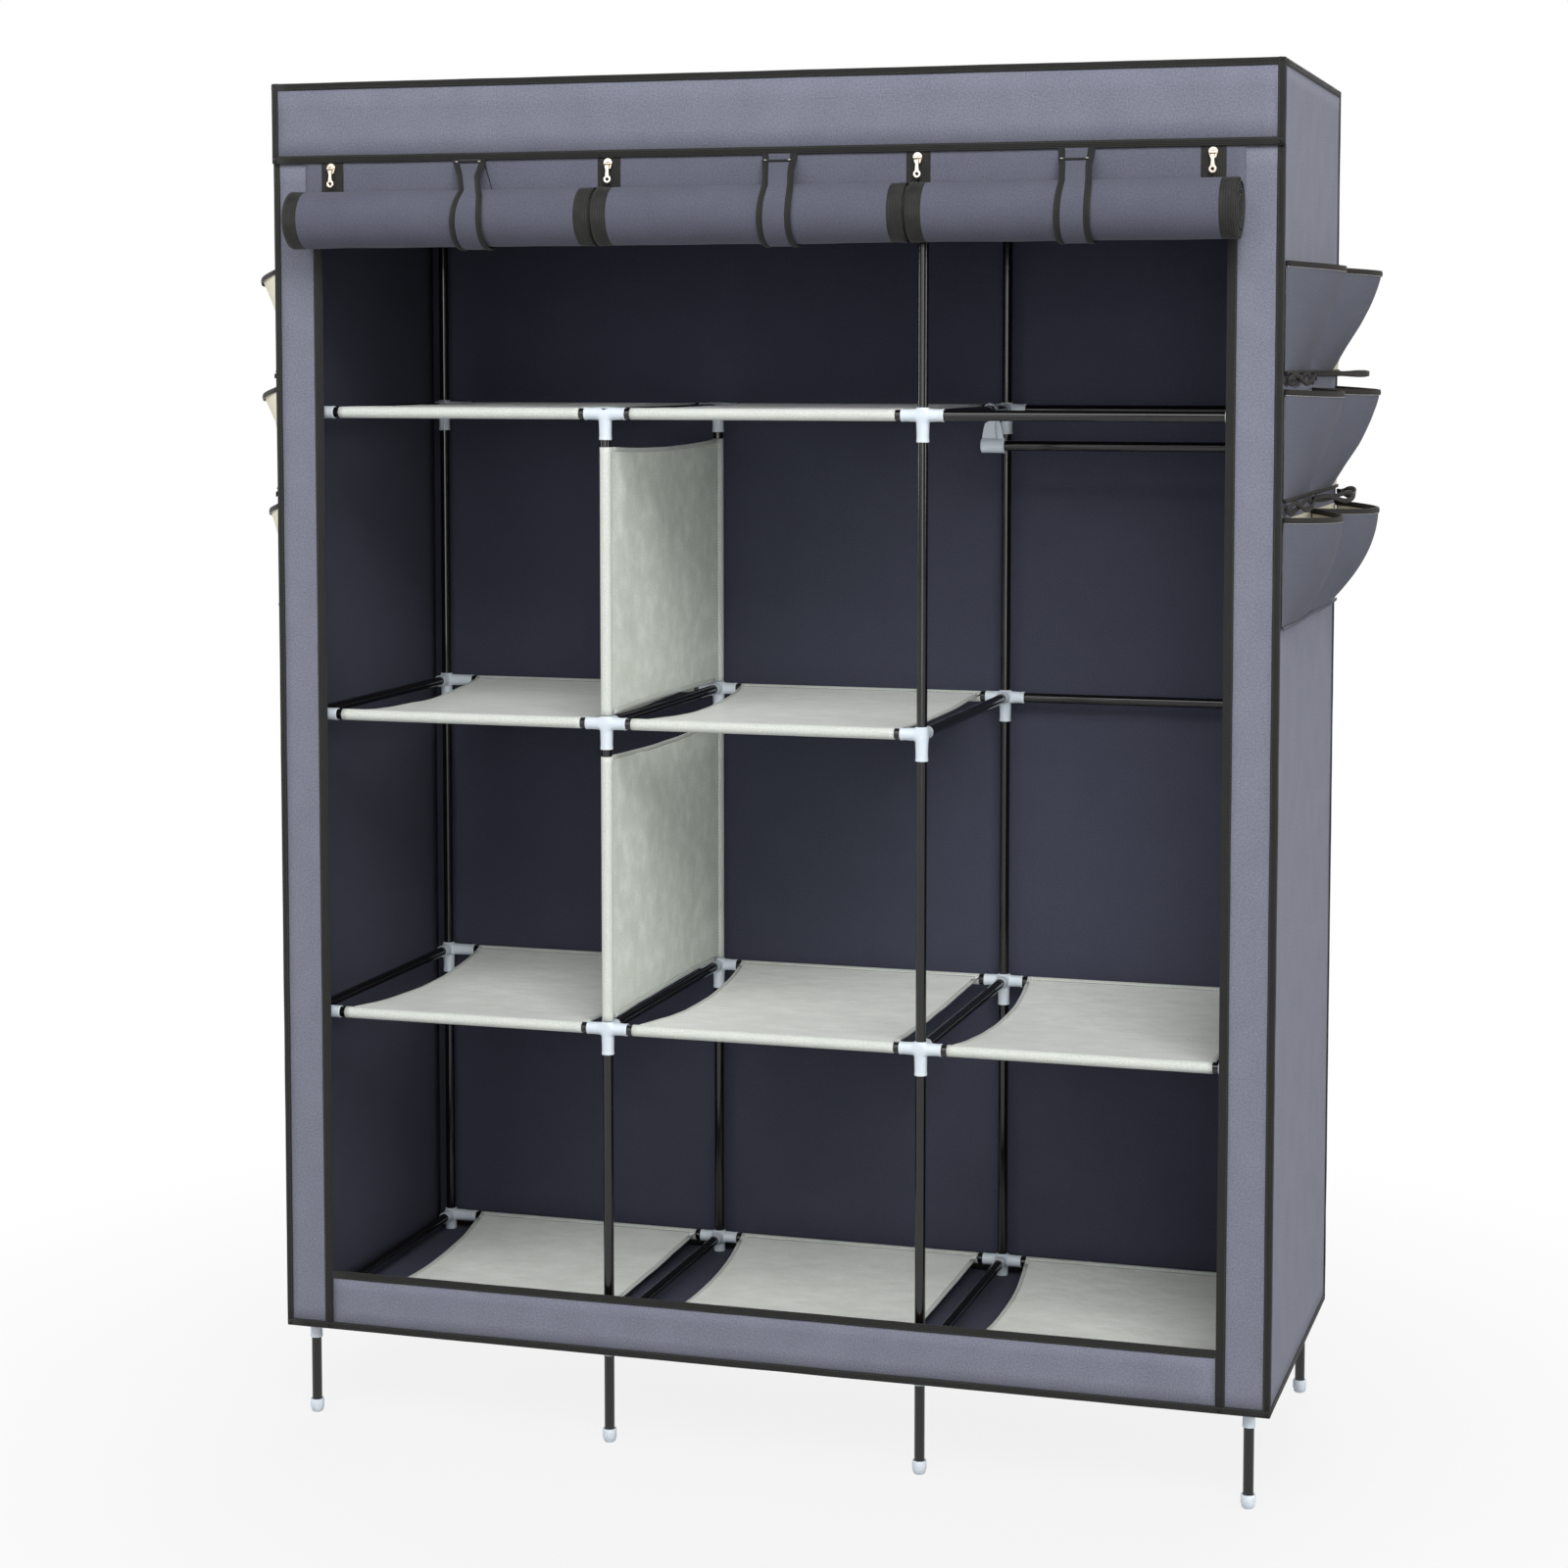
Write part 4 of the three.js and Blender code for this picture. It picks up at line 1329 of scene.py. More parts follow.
@dataclass(frozen=True)
class Hook:
    """A moulded hook: a clip over a depth tube, a web below it, and a cup for the rod's end.

    The drop is how far the rod's axis hangs below the tube's, and turned means facing left.
    """

    node: str
    seat: Vector
    drop: float
    tube_radius: float
    turned: bool
    wall: float = 2.8 * MM
    width: float = 14 * MM
    clearance: float = 0.5 * MM
    clip_ends: Pair = (216, -28)
    leg_bow: float = 1 * MM
    cup_length: float = 32 * MM
    cup_start: float = 12 * MM
    cup_wall: float = 2.6 * MM
    cup_slack: float = 0.4 * MM
    cup_lip: float = 0.9 * MM
    cup_edge: float = 1 * MM
    stop_depth: float = 8 * MM
    web_half: float = 3.2 * MM
    web_flare: float = 8 * MM

    @property
    def ring(self) -> float:
        """The radius of the clip's middle line."""
        return self.tube_radius + self.clearance + self.wall / 2

    @property
    def outer(self) -> float:
        """The outer radius of the cup."""
        return self.tube_radius + self.clearance + self.cup_wall

    def build(self) -> None:
        """Builds the hook as one moulding."""
        mesh = self.clip()
        join_in(mesh, self.web())
        join_in(mesh, self.cup())
        turn = Matrix.Rotation(math.pi if self.turned else 0.0, 4, "Z")
        bmesh.ops.transform(mesh, matrix=Matrix.Translation(self.seat) @ turn, verts=mesh.verts[:])
        hook = make_piece(mesh, f"moulded_{self.node}", [FITTING])
        ease_edges(hook, 0.5 * MM)
        settle(hook, "rod", FITTING.slot, self.node)

    def clip(self) -> Mesh:
        """Bends the clip over the tube and down to the cup.

        Returns:
            The mesh of the clip, about the tube's middle.
        """
        ring, bow, half = self.ring, self.leg_bow, self.wall / 2
        leg = (
            (ring, -self.drop * 0.25),
            (ring - bow, -self.drop * 0.5),
            (ring, -self.drop * 0.7),
            (ring + bow, -self.drop + self.outer - bow),
        )
        line = Line((*arc(Vector((0, 0)), ring, *self.clip_ends, 22), *(Vector(spot) for spot in leg)))
        spots = line.spots
        mesh = cloth_grid(
            evenly(0, self.width, 4),
            line.distances,
            lambda u, v: Vector((spots[v].x, u - self.width / 2, spots[v].y)),
        )
        bmesh.ops.solidify(mesh, geom=mesh.faces[:], thickness=-half)
        bmesh.ops.recalc_face_normals(mesh, faces=mesh.faces[:])
        return mesh

    def cup(self) -> Mesh:
        """Turns the cup and lays it along the rod.

        Returns:
            The mesh of the cup, about the tube's middle.
        """
        outer, length, edge = self.outer, self.cup_length, self.cup_edge
        bore, stop = self.tube_radius + self.cup_slack, self.cup_start + self.stop_depth
        outside = [(0, 0), (outer - edge, 0), (outer, edge), (outer, length - 2.4 * MM)]
        lip = [
            (outer + self.cup_lip, length - 1.2 * MM),
            (outer + edge / 2, length),
            (bore + edge / 2, length),
            (bore, length - 0.8 * MM),
        ]
        cup = lathe([*outside, *lip, (bore, stop), (0, stop)])
        at = Matrix.Translation((-self.cup_start, 0, -self.drop))
        lie = at @ Matrix.Rotation(math.pi / 2, 4, "Y")
        bmesh.ops.transform(cup, matrix=lie, verts=cup.verts[:])
        return cup

    def web(self) -> Mesh:
        """Builds the upright web that joins the clip's leg to the whole length of the cup.

        Returns:
            The mesh of the web, about the tube's middle.
        """
        mesh = bmesh.new()
        bmesh.ops.create_cube(mesh, size=1.0)
        bmesh.ops.subdivide_edges(mesh, edges=mesh.edges[:], cuts=3, use_grid_fill=True)
        head, foot = self.ring + 1.2 * MM, self.drop - self.outer + 1.5 * MM
        spread = self.ring - self.wall / 2 + self.cup_start - 2 * MM
        for vert in mesh.verts:
            down = min(max(0.5 - vert.co.z, 0.0), 1.0)
            left = self.ring - self.wall - spread * down**0.2
            right = self.ring + self.wall / 2 + self.web_flare * down**0.5
            across = left + (right - left) * (vert.co.x + 0.5)
            vert.co = Vector((across, vert.co.y * self.web_half, -head - (foot - head) * down))
        return mesh


@dataclass(frozen=True)
class HangingRail:
    """The hanging rod in its two moulded hooks, which slide on the depth tubes."""

    layout: Layout
    depth_tube_level: int = 3

    def build(self) -> None:
        """Builds the rod and both hooks."""
        low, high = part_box("hanging_rod")
        middle = (low + high) / 2
        ends = [Vector((x, middle.y, middle.z)) for x in (low.x, high.x)]
        radius, level = self.layout.tube_radius, self.layout.levels[self.depth_tube_level]
        add_tube("tube_hanging_rod", ends, radius, "rod", "hanging_rod")
        for name, post, turned in (("rod_hook_left", 2, False), ("rod_hook_right", 3, True)):
            seat = Vector((self.layout.posts[post], middle.y, level))
            Hook(name, seat, level - middle.z, radius, turned).build()


# Cover


class Fold(Enum):
    """How a binding goes over an edge."""

    CORNER = "corner"
    HEM = "hem"


@dataclass(frozen=True)
class Binding:
    """A tape sewn over an edge of the cover, with the stitching along it."""

    name: str
    start: Vector
    stop: Vector
    inward: Vector
    outward: Vector
    fold: Fold
    width: float
    wall: float = 1.5 * MM
    lift: float = 0.7 * MM
    tape: float = 0.8 * MM
    crimp: float = 1.4 * MM
    stray: float = 0.35 * MM
    station_pitch: float = 30 * MM
    stitch_inset: float = 1.6 * MM

    def section(self) -> list[Pair]:
        """Folds the tape's section over the edge.

        Returns:
            Depths into the cloth and heights over its face.
        """
        lift, wide, soft = self.lift, self.width, self.crimp
        face = [(wide, lift * 0.6), (wide * 0.75, lift * 1.15), (wide * 0.4, lift), (soft, lift)]
        if self.fold is Fold.CORNER:
            bend = [(0.1 * MM, lift * 0.8), (-lift * 0.8, -0.1 * MM), (-lift, -soft)]
            side = [(-lift, -wide * 0.4), (-lift * 1.15, -wide * 0.75), (-lift * 0.6, -wide)]
            return face + bend + side
        under = -self.wall - lift
        return [*face, (-lift, lift * 0.3), (-lift, under + lift * 0.7), (soft, under), (wide, under)]

    def edge(self) -> list[Station]:
        """Walks along the edge, which wavers slightly as sewn tape does.

        Returns:
            The stations of the edge.
        """
        run = self.stop - self.start
        made = []
        for share in evenly(0, 1, max(8, int(run.length / self.station_pitch))):
            point = self.start + run * share
            stray = self.stray * crease(point, 60 * MM, 4.0) * min(1.0, 12 * arch(share))
            made.append(Station(point + self.inward * stray, self.inward, self.outward))
        return made

    def build(self) -> Piece:
        """Builds the tape with its stitches.

        Returns:
            The tape.
        """
        edge = self.edge()
        piece = make_piece(carry(self.section(), edge), f"binding_{self.name}", [BINDING], sharp=60)
        thicken(piece, self.tape)
        row = stitches(edge, self.width - self.stitch_inset, self.lift + self.tape / 2)
        make_piece(row, f"stitches_{self.name}", [DARK_THREAD]).parent = piece
        return settle(piece, "wardrobe", BINDING.slot)


@dataclass(frozen=True)
class Panel:
    """A flat panel of the cover, which billows a little and may sag back from its plane."""

    name: str
    corner: Vector
    across: Vector
    along: Vector
    face: Finish
    sag: Callable[[float, float], float] | None = None
    cloth: float = 1.3 * MM
    billow: float = 1.0 * MM
    cell: float = 26 * MM
    long_fold: float = 210 * MM
    short_fold: float = 70 * MM

    def point(self, u: float, v: float) -> Vector:
        """Places a point of the panel.

        Args:
            u: How far across the cut it lies.
            v: How far along it.

        Returns:
            The point.
        """
        right, up = self.across.normalized(), self.along.normalized()
        share, rise = u / self.across.length, v / self.along.length
        flat = self.corner + right * u + up * v
        held = min(1.0, 5 * arch(share)) * min(1.0, 5 * arch(rise))
        seed = self.corner.x + self.corner.y * 3
        relief = crease(flat, self.long_fold, seed) + 0.35 * crease(flat, self.short_fold, seed + 2)
        depth = self.billow * (relief - 0.6) * held
        if self.sag:
            depth -= self.sag(share, rise)
        return flat + right.cross(up) * depth

    def build(self) -> Piece:
        """Builds the panel.

        Returns:
            The panel.
        """
        width, length = self.across.length, self.along.length
        columns = evenly(0, width, max(4, int(width / self.cell)))
        rows = evenly(0, length, max(3, int(length / self.cell)))
        mesh = cloth_grid(columns, rows, self.point)
        # Its inner faces take the dark navy painted shade.
        piece = make_piece(mesh, f"cover_{self.name}", [self.face, COVER_NAVY_SHADE])
        thicken(piece, self.cloth, offset=-1, reverse=1)
        return settle(piece, "wardrobe", self.face.slot, "cover")


@dataclass(frozen=True)
class Cover:
    """The cover: sewn panels with a dark binding over every edge and seam."""

    layout: Layout
    strip_width: float = 64 * MM
    bottom_height: float = 75 * MM
    # The floor panel, a sheet of painted shade, lies this far above the hem.
    floor_lift: float = 2 * MM
    top_sag: float = 5 * MM
    corner_tape: float = 7.8 * MM
    strip_tape: float = 10.5 * MM
    hem_tape: float = 8.2 * MM

    def build(self) -> None:
        bound = {binding.name: binding.build() for binding in self.bindings()}
        for panel in self.panels():
            piece = panel.build()
            flat = (panel.across.length, panel.along.length)

    def sagging(self, across: float, along: float) -> float:
        """Returns how far the top hangs below its plane, between the crowns that carry it."""
        between = abs(math.sin(math.pi * (len(self.layout.posts) - 1) * (across * 1.045 - 0.0225)))
        return self.top_sag * max(between, arch(along)) * min(1.0, 4 * arch(across), 4 * arch(along))

    @property
    def corners(self) -> tuple[float, float, float, float, float, float, float, float]:
        """The left, right, header front, strip front, back, hem, header's lower edge and top."""
        low, high, front = self.layout.cover_low, self.layout.cover_high, self.layout.strip_front
        return low.x, high.x, low.y, front, high.y, low.z, self.layout.header_bottom, high.z

    def panels(self) -> list[Panel]:
        """Cuts the panels to their places.

        Returns:
            The panels.
        """
        left, right, head, front, back, hem, header, top = self.corners
        wide, deep, tall = RIGHT * (right - left), BACK * (back - front), UP * (top - hem)
        strip, strip_up = RIGHT * self.strip_width, UP * (header - hem)
        inner, low = RIGHT * (right - left - 2 * self.strip_width), UP * self.bottom_height
        near, far = Vector((left, front, hem)), Vector((right, front, hem))
        floor = Vector((left, back, hem + self.floor_lift))
        over = BACK * (back - head)
        return [
            Panel("top", Vector((left, head, top)), wide, over, COVER_FACE, self.sagging),
            Panel("back", Vector((right, back, hem)), -wide, tall, COVER_FACE),
            Panel("left", Vector((left, back, hem)), -deep, tall, COVER_FACE),
            Panel("right", far, deep, tall, COVER_FACE),
            Panel("header", Vector((left, head, header)), wide, UP * (top - header), HEADER_SHADE_FACE),
            Panel("strip_left", near, strip, strip_up, COVER_FACE),
            Panel("strip_right", far - strip, strip, strip_up, COVER_FACE),
            Panel("bottom", near + strip, inner, low, COVER_FACE),
            # The floor panel is a sheet across the cover's open bottom; its dark navy inner face, seen
            # in the gaps below the bottom shelves, is painted shade for the ground under the wardrobe.
            Panel("floor", floor, wide, -deep, COVER_FACE),
        ]

    def bindings(self) -> list[Binding]:
        """Lists the bindings of every edge; a name starts with the panel that it is on.

        Returns:
            The bindings.
        """
        left, right, head, front, back, hem, header, top = self.corners
        turned, folded = (Fold.CORNER, self.corner_tape), (Fold.HEM, self.hem_tape)
        strip = self.strip_width
        ledge = hem + self.bottom_height
        runs = []
        for name, x, inward in (("left", left, RIGHT), ("right", right, -RIGHT)):
            edge = x + inward.x * strip
            rim = (Fold.HEM, self.strip_tape)
            runs += [
                (f"{name}_front", (x, front, hem), (x, front, header), inward, -BACK, turned),
                (f"header_{name}", (x, head, header), (x, head, top), inward, -BACK, turned),
                (f"{name}_back", (x, back, hem), (x, back, top), inward, BACK, turned),
                (f"{name}_top", (x, head, top), (x, back, top), inward, UP, turned),
                (f"{name}_hem", (x, front, hem), (x, back, hem), UP, -inward, folded),
                (f"strip_{name}_inner", (edge, front, hem), (edge, front, header), -inward, -BACK, rim),
            ]
        inner = ((left + strip, front, ledge), (right - strip, front, ledge))
        runs += [
            ("header_top", (left, head, top), (right, head, top), -UP, -BACK, turned),
            ("back_top", (left, back, top), (right, back, top), -UP, BACK, turned),
            ("header_bottom", (left, head, header), (right, head, header), UP, -BACK, folded),
            ("back_hem", (left, back, hem), (right, back, hem), UP, BACK, folded),
            ("bottom_hem", (left, front, hem), (right, front, hem), UP, -BACK, folded),
            ("bottom_top", *inner, -UP, -BACK, folded),
        ]
        return [
            Binding(name, Vector(start), Vector(stop), inward, outward, *kind)
            for name, start, stop, inward, outward, kind in runs
        ]


# Pockets


@dataclass(frozen=True)
class Hang:
    """How a tier's pockets hang: how far out, along what curves, and with what slack below.

    The pairs are for the front pocket and the back pocket.
    """

    reaches: Pair
    plan_power: float
    slope_power: float
    seated_share: float
    sag: float = 3.5 * MM
    slack_reaches: Pair = (0.0, 0.0)
    slack_heights: Pair = (0.0, 0.0)


@dataclass(frozen=True)
class Pocket:
    """A pocket on a side of the cover, fuller at the rim than at the seam below.

    The place is 0 for the front pocket of its tier and 1 for the back one. The wall is the face
    of the cover's side, and the span runs from the pocket's front end to its back end.
    """

    node: str
    side: int
    place: int
    wall: float
    rim: float
    span: Pair
    hang: Hang
    cloth: float = 1.4 * MM
    depth: float = 138 * MM
    floor_share: float = 0.94
    gusset_share: float = 0.3
    rim_width: float = 5.2 * MM
    binding: float = 0.9 * MM
    lift: float = 0.7 * MM
    soft: float = 1 * MM
    piping_lift: float = 0.8 * MM
    tape_width: float = 5.6 * MM
    tape: float = 1.6 * MM
    tape_lifts: Pair = (3.4 * MM, 0.6 * MM)
    slack_drop: float = 1 * MM
    ripple: float = 2.2 * MM

    @property
    def label(self) -> str:
        """The tier's node and the pocket's number in it."""
        return f"{self.node}_{self.place + 1}"

    @property
    def is_slack(self) -> bool:
        """Whether slack tapes hang below the pocket."""
        return any(self.hang.slack_heights)

    def fullness(self, along: float) -> float:
        """Returns how full the pocket is at a share along it, from 0 at its seams to 1."""
        return max(0.0, 1 - abs(2 * along - 1) ** self.hang.plan_power)

    def out(self, along: float, down: float) -> float:
        """Returns how far the cloth stands out at shares along and down the pocket."""
        slope = max(0.0, 1 - (max(down, 0.0) / self.hang.seated_share) ** self.hang.slope_power)
        return self.cloth + (self.hang.reaches[self.place] * slope - self.cloth) * self.fullness(along)

    def point(self, along: float, down: float) -> Vector:
        """Places a point of the pocket's cloth.

        Args:
            along: The share of the way along the pocket.
            down: The share of the way down it.

        Returns:
            The point.
        """
        y = self.span[0] + (self.span[1] - self.span[0]) * along
        z = self.rim - self.depth * down - self.hang.sag * self.fullness(along) * (1 - down)
        flat = Vector((self.side * 0.3, y, z))
        loose = arch(along) * arch(0.1 + 0.8 * down) * self.ripple
        ripple = loose * (crease(flat, 60 * MM, 3.0 + self.rim) + 0.4 * crease(flat, 22 * MM, 8.0))
        out = max(self.cloth, self.out(along, down) - abs(ripple))
        return Vector((self.wall + self.side * out, y, z))

    def build(self) -> None:
        """Builds the pocket with its rim binding, its piping and any slack tapes."""
        girth = Line(tuple(self.point(s, 0.0) for s in evenly(0, 1, 60))).length
        drop = Line(tuple(self.point(0.5, t) for t in evenly(0, 1, 30))).length

        def laid(u: float, v: float) -> Vector:
            """Returns the point for a place on the cut."""
            along = u / girth if self.side > 0 else 1 - u / girth
            return self.point(along, (1 - v / drop) * self.floor_share)

        mesh = cloth_grid(evenly(0, girth, 40), evenly(0, drop, 26), laid)
        # The cream gusset is at the right-hand end of the tier, as one looks at it.
        has_gusset = self.place == (1 if self.side > 0 else 0)
        pick_second(mesh, lambda u: has_gusset and u / girth > 1 - self.gusset_share)
        piece = make_piece(mesh, f"pocket_face_{self.label}", [POCKET_FACE, POCKET_LINING])
        thicken(piece, self.cloth, offset=-1, reverse=1)
        soften(piece, 1)
        settle(piece, "wardrobe", POCKET_FACE.slot, self.node)
        extras = [self.rim_binding(), self.foot_binding()]
        if self.is_slack:
            extras.append(self.slack_tapes())

    def rim_binding(self) -> Piece:
        """Builds the dark binding over the rim, with light stitches below it.

        Returns:
            The binding.
        """
        edge = []
        for share in evenly(0, 1, 40):
            ahead = self.point(min(share + 0.01, 1.0), 0.0)
            behind = self.point(max(share - 0.01, 0.0), 0.0)
            outward = (ahead - behind).cross(UP).normalized()
            if outward.x * self.side < 0:
                outward = -outward
            edge.append(Station(self.point(share, 0.0), -UP, outward))
        lift, wide, soft = self.lift, self.rim_width, self.soft
        under = -self.cloth - lift
        face = [(wide, lift * 0.5), (wide * 0.6, lift * 1.2), (soft, lift)]
        section = [*face, (-lift, lift * 0.3), (-lift, under + lift * 0.7), (soft, under), (wide, under)]
        piece = make_piece(carry(section, edge), f"rim_{self.label}", [RIM_BINDING], sharp=60)
        thicken(piece, self.binding)
        row = stitches(edge, wide + 0.6 * MM, 0.5 * MM, pitch=5 * MM)
        make_piece(row, f"stitches_rim_{self.label}", [THREAD]).parent = piece
        return settle(piece, "wardrobe", RIM_BINDING.slot)

    def foot_binding(self) -> Piece:
        """Builds the piping of a slack seam, or the turned hem of a neat one.

        Returns:
            The piping or hem.
        """
        finish = RIM_BINDING if self.is_slack else POCKET_FACE
        outward = RIGHT * self.side
        edge = [
            Station(self.point(share, self.floor_share) + outward * self.piping_lift, UP, outward)
            for share in evenly(0, 1, 72)
        ]
        wide, low, high = self.rim_width * 0.4, 0.2 * MM, 1.2 * MM
        section = [(wide, low), (wide * 0.4, high), (-wide * 0.4, high), (-wide, low)]
        piece = make_piece(carry(section, edge), f"foot_{self.label}", [finish], sharp=60)
        thicken(piece, self.binding)
        return settle(piece, "wardrobe", finish.slot)

    def slack_point(self, u: float, v: float, swing: int, lift: float) -> Vector:
        """Places a point of a slack tape, which curls up and down below the pocket.

        Args:
            u: How far along the tape it lies.
            v: How far across it.
            swing: 1 or -1, for the way that the tape curls first.
            lift: How far the tape stands off the pocket's foot.

        Returns:
            The point.
        """
        share, number = u / (self.span[1] - self.span[0]), self.place + 1
        reach, tall = self.hang.slack_reaches[self.place], self.hang.slack_heights[self.place]
        base = self.rim - self.depth * self.floor_share - tall - self.slack_drop
        curl = swing * math.sin(share * FULL_TURN * 1.25 + 0.9 * number)
        uneven = 0.8 + 0.35 * crease(Vector((share, number, self.rim)), 0.3, 2.0 + swing)
        out = self.cloth + lift + self.fullness(share) * (reach + 0.5 * v * curl)
        z = base + tall * curl * uneven * min(1.0, 2.4 * arch(share)) + v - self.tape_width / 2
        return Vector((self.wall + self.side * out, self.span[0] + u, z))

    def slack_tapes(self) -> Piece:
        """Builds the two slack tapes of the lower seam, which cross and leave openings.

        Returns:
            Both tapes, as one piece.
        """
        mesh = bmesh.new()
        columns = evenly(0, self.span[1] - self.span[0], 64)
        rows = evenly(0, self.tape_width, 3)
        for swing, lift in zip((1, -1), self.tape_lifts):
            laid = partial(self.slack_point, swing=swing, lift=lift)
            join_in(mesh, cloth_grid(columns, rows, laid))
        piece = make_piece(mesh, f"slack_{self.label}", [RIM_BINDING], sharp=80)
        thicken(piece, self.tape)
        return settle(piece, "wardrobe", RIM_BINDING.slot)


@dataclass(frozen=True)
class PocketTier:
    """A tier of two pockets on a side of the cover, with the cream cloth that backs them."""

    node: str
    side: int
    layout: Layout
    hang: Hang
    end_inset: float = 8 * MM
    seam_width: float = 6 * MM
    wall_gap: float = 1.6 * MM
    lining_drop: float = 2 * MM
    lining_tuck: float = 6 * MM
    lining_cloth: float = 0.5 * MM

    def build(self) -> None:
        """Builds the lining behind the tier and both pockets."""
        edge = self.layout.cover_high.x if self.side > 0 else self.layout.cover_low.x
        wall, rim = edge + self.side * self.wall_gap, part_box(self.node)[1].z
        start = self.layout.strip_front + self.end_inset
        stop = self.layout.cover_high.y - self.end_inset
        middle, half = (start + stop) / 2, self.seam_width / 2
        pockets = [
            Pocket(self.node, self.side, place, wall, rim, span, self.hang)
            for place, span in enumerate(((start, middle + half), (middle - half, stop)))
        ]
        tall = pockets[0].depth * pockets[0].floor_share - self.lining_tuck
        self.lining(wall, (start + self.seam_width, stop - self.seam_width), rim, tall)
        for pocket in pockets:
            pocket.build()

    def lining(self, wall: float, span: Pair, rim: float, tall: float) -> None:
        """Builds the cream cloth that backs the tier.

        Args:
            wall: Where it lies on the cover's side.
            span: Its front and back ends.
            rim: The height of the pockets' rims.
            tall: How tall it is.
        """
        start, stop = span
        wide, foot = stop - start, rim - self.lining_drop - tall

        def laid(u: float, v: float) -> Vector:
            """Returns the point for a place on the cut."""
            return Vector((wall, start + u if self.side > 0 else stop - u, foot + v))

        mesh = cloth_grid(evenly(0, wide, 24), evenly(0, tall, 8), laid)
        piece = make_piece(mesh, f"lining_{self.node}", [POCKET_LINING])
        thicken(piece, self.lining_cloth)
        settle(piece, "wardrobe", POCKET_LINING.slot, self.node)


# Doors


@dataclass(frozen=True)
class Fit:
    """How a strap holds its roll: how far it leans, where its bar is, and how it is pinched."""

    lean: float
    bar_drop: float
    pinch: float = 0.12


class Half(Enum):
    """A half of a strap."""

    FRONT = "front"
    BACK = "back"


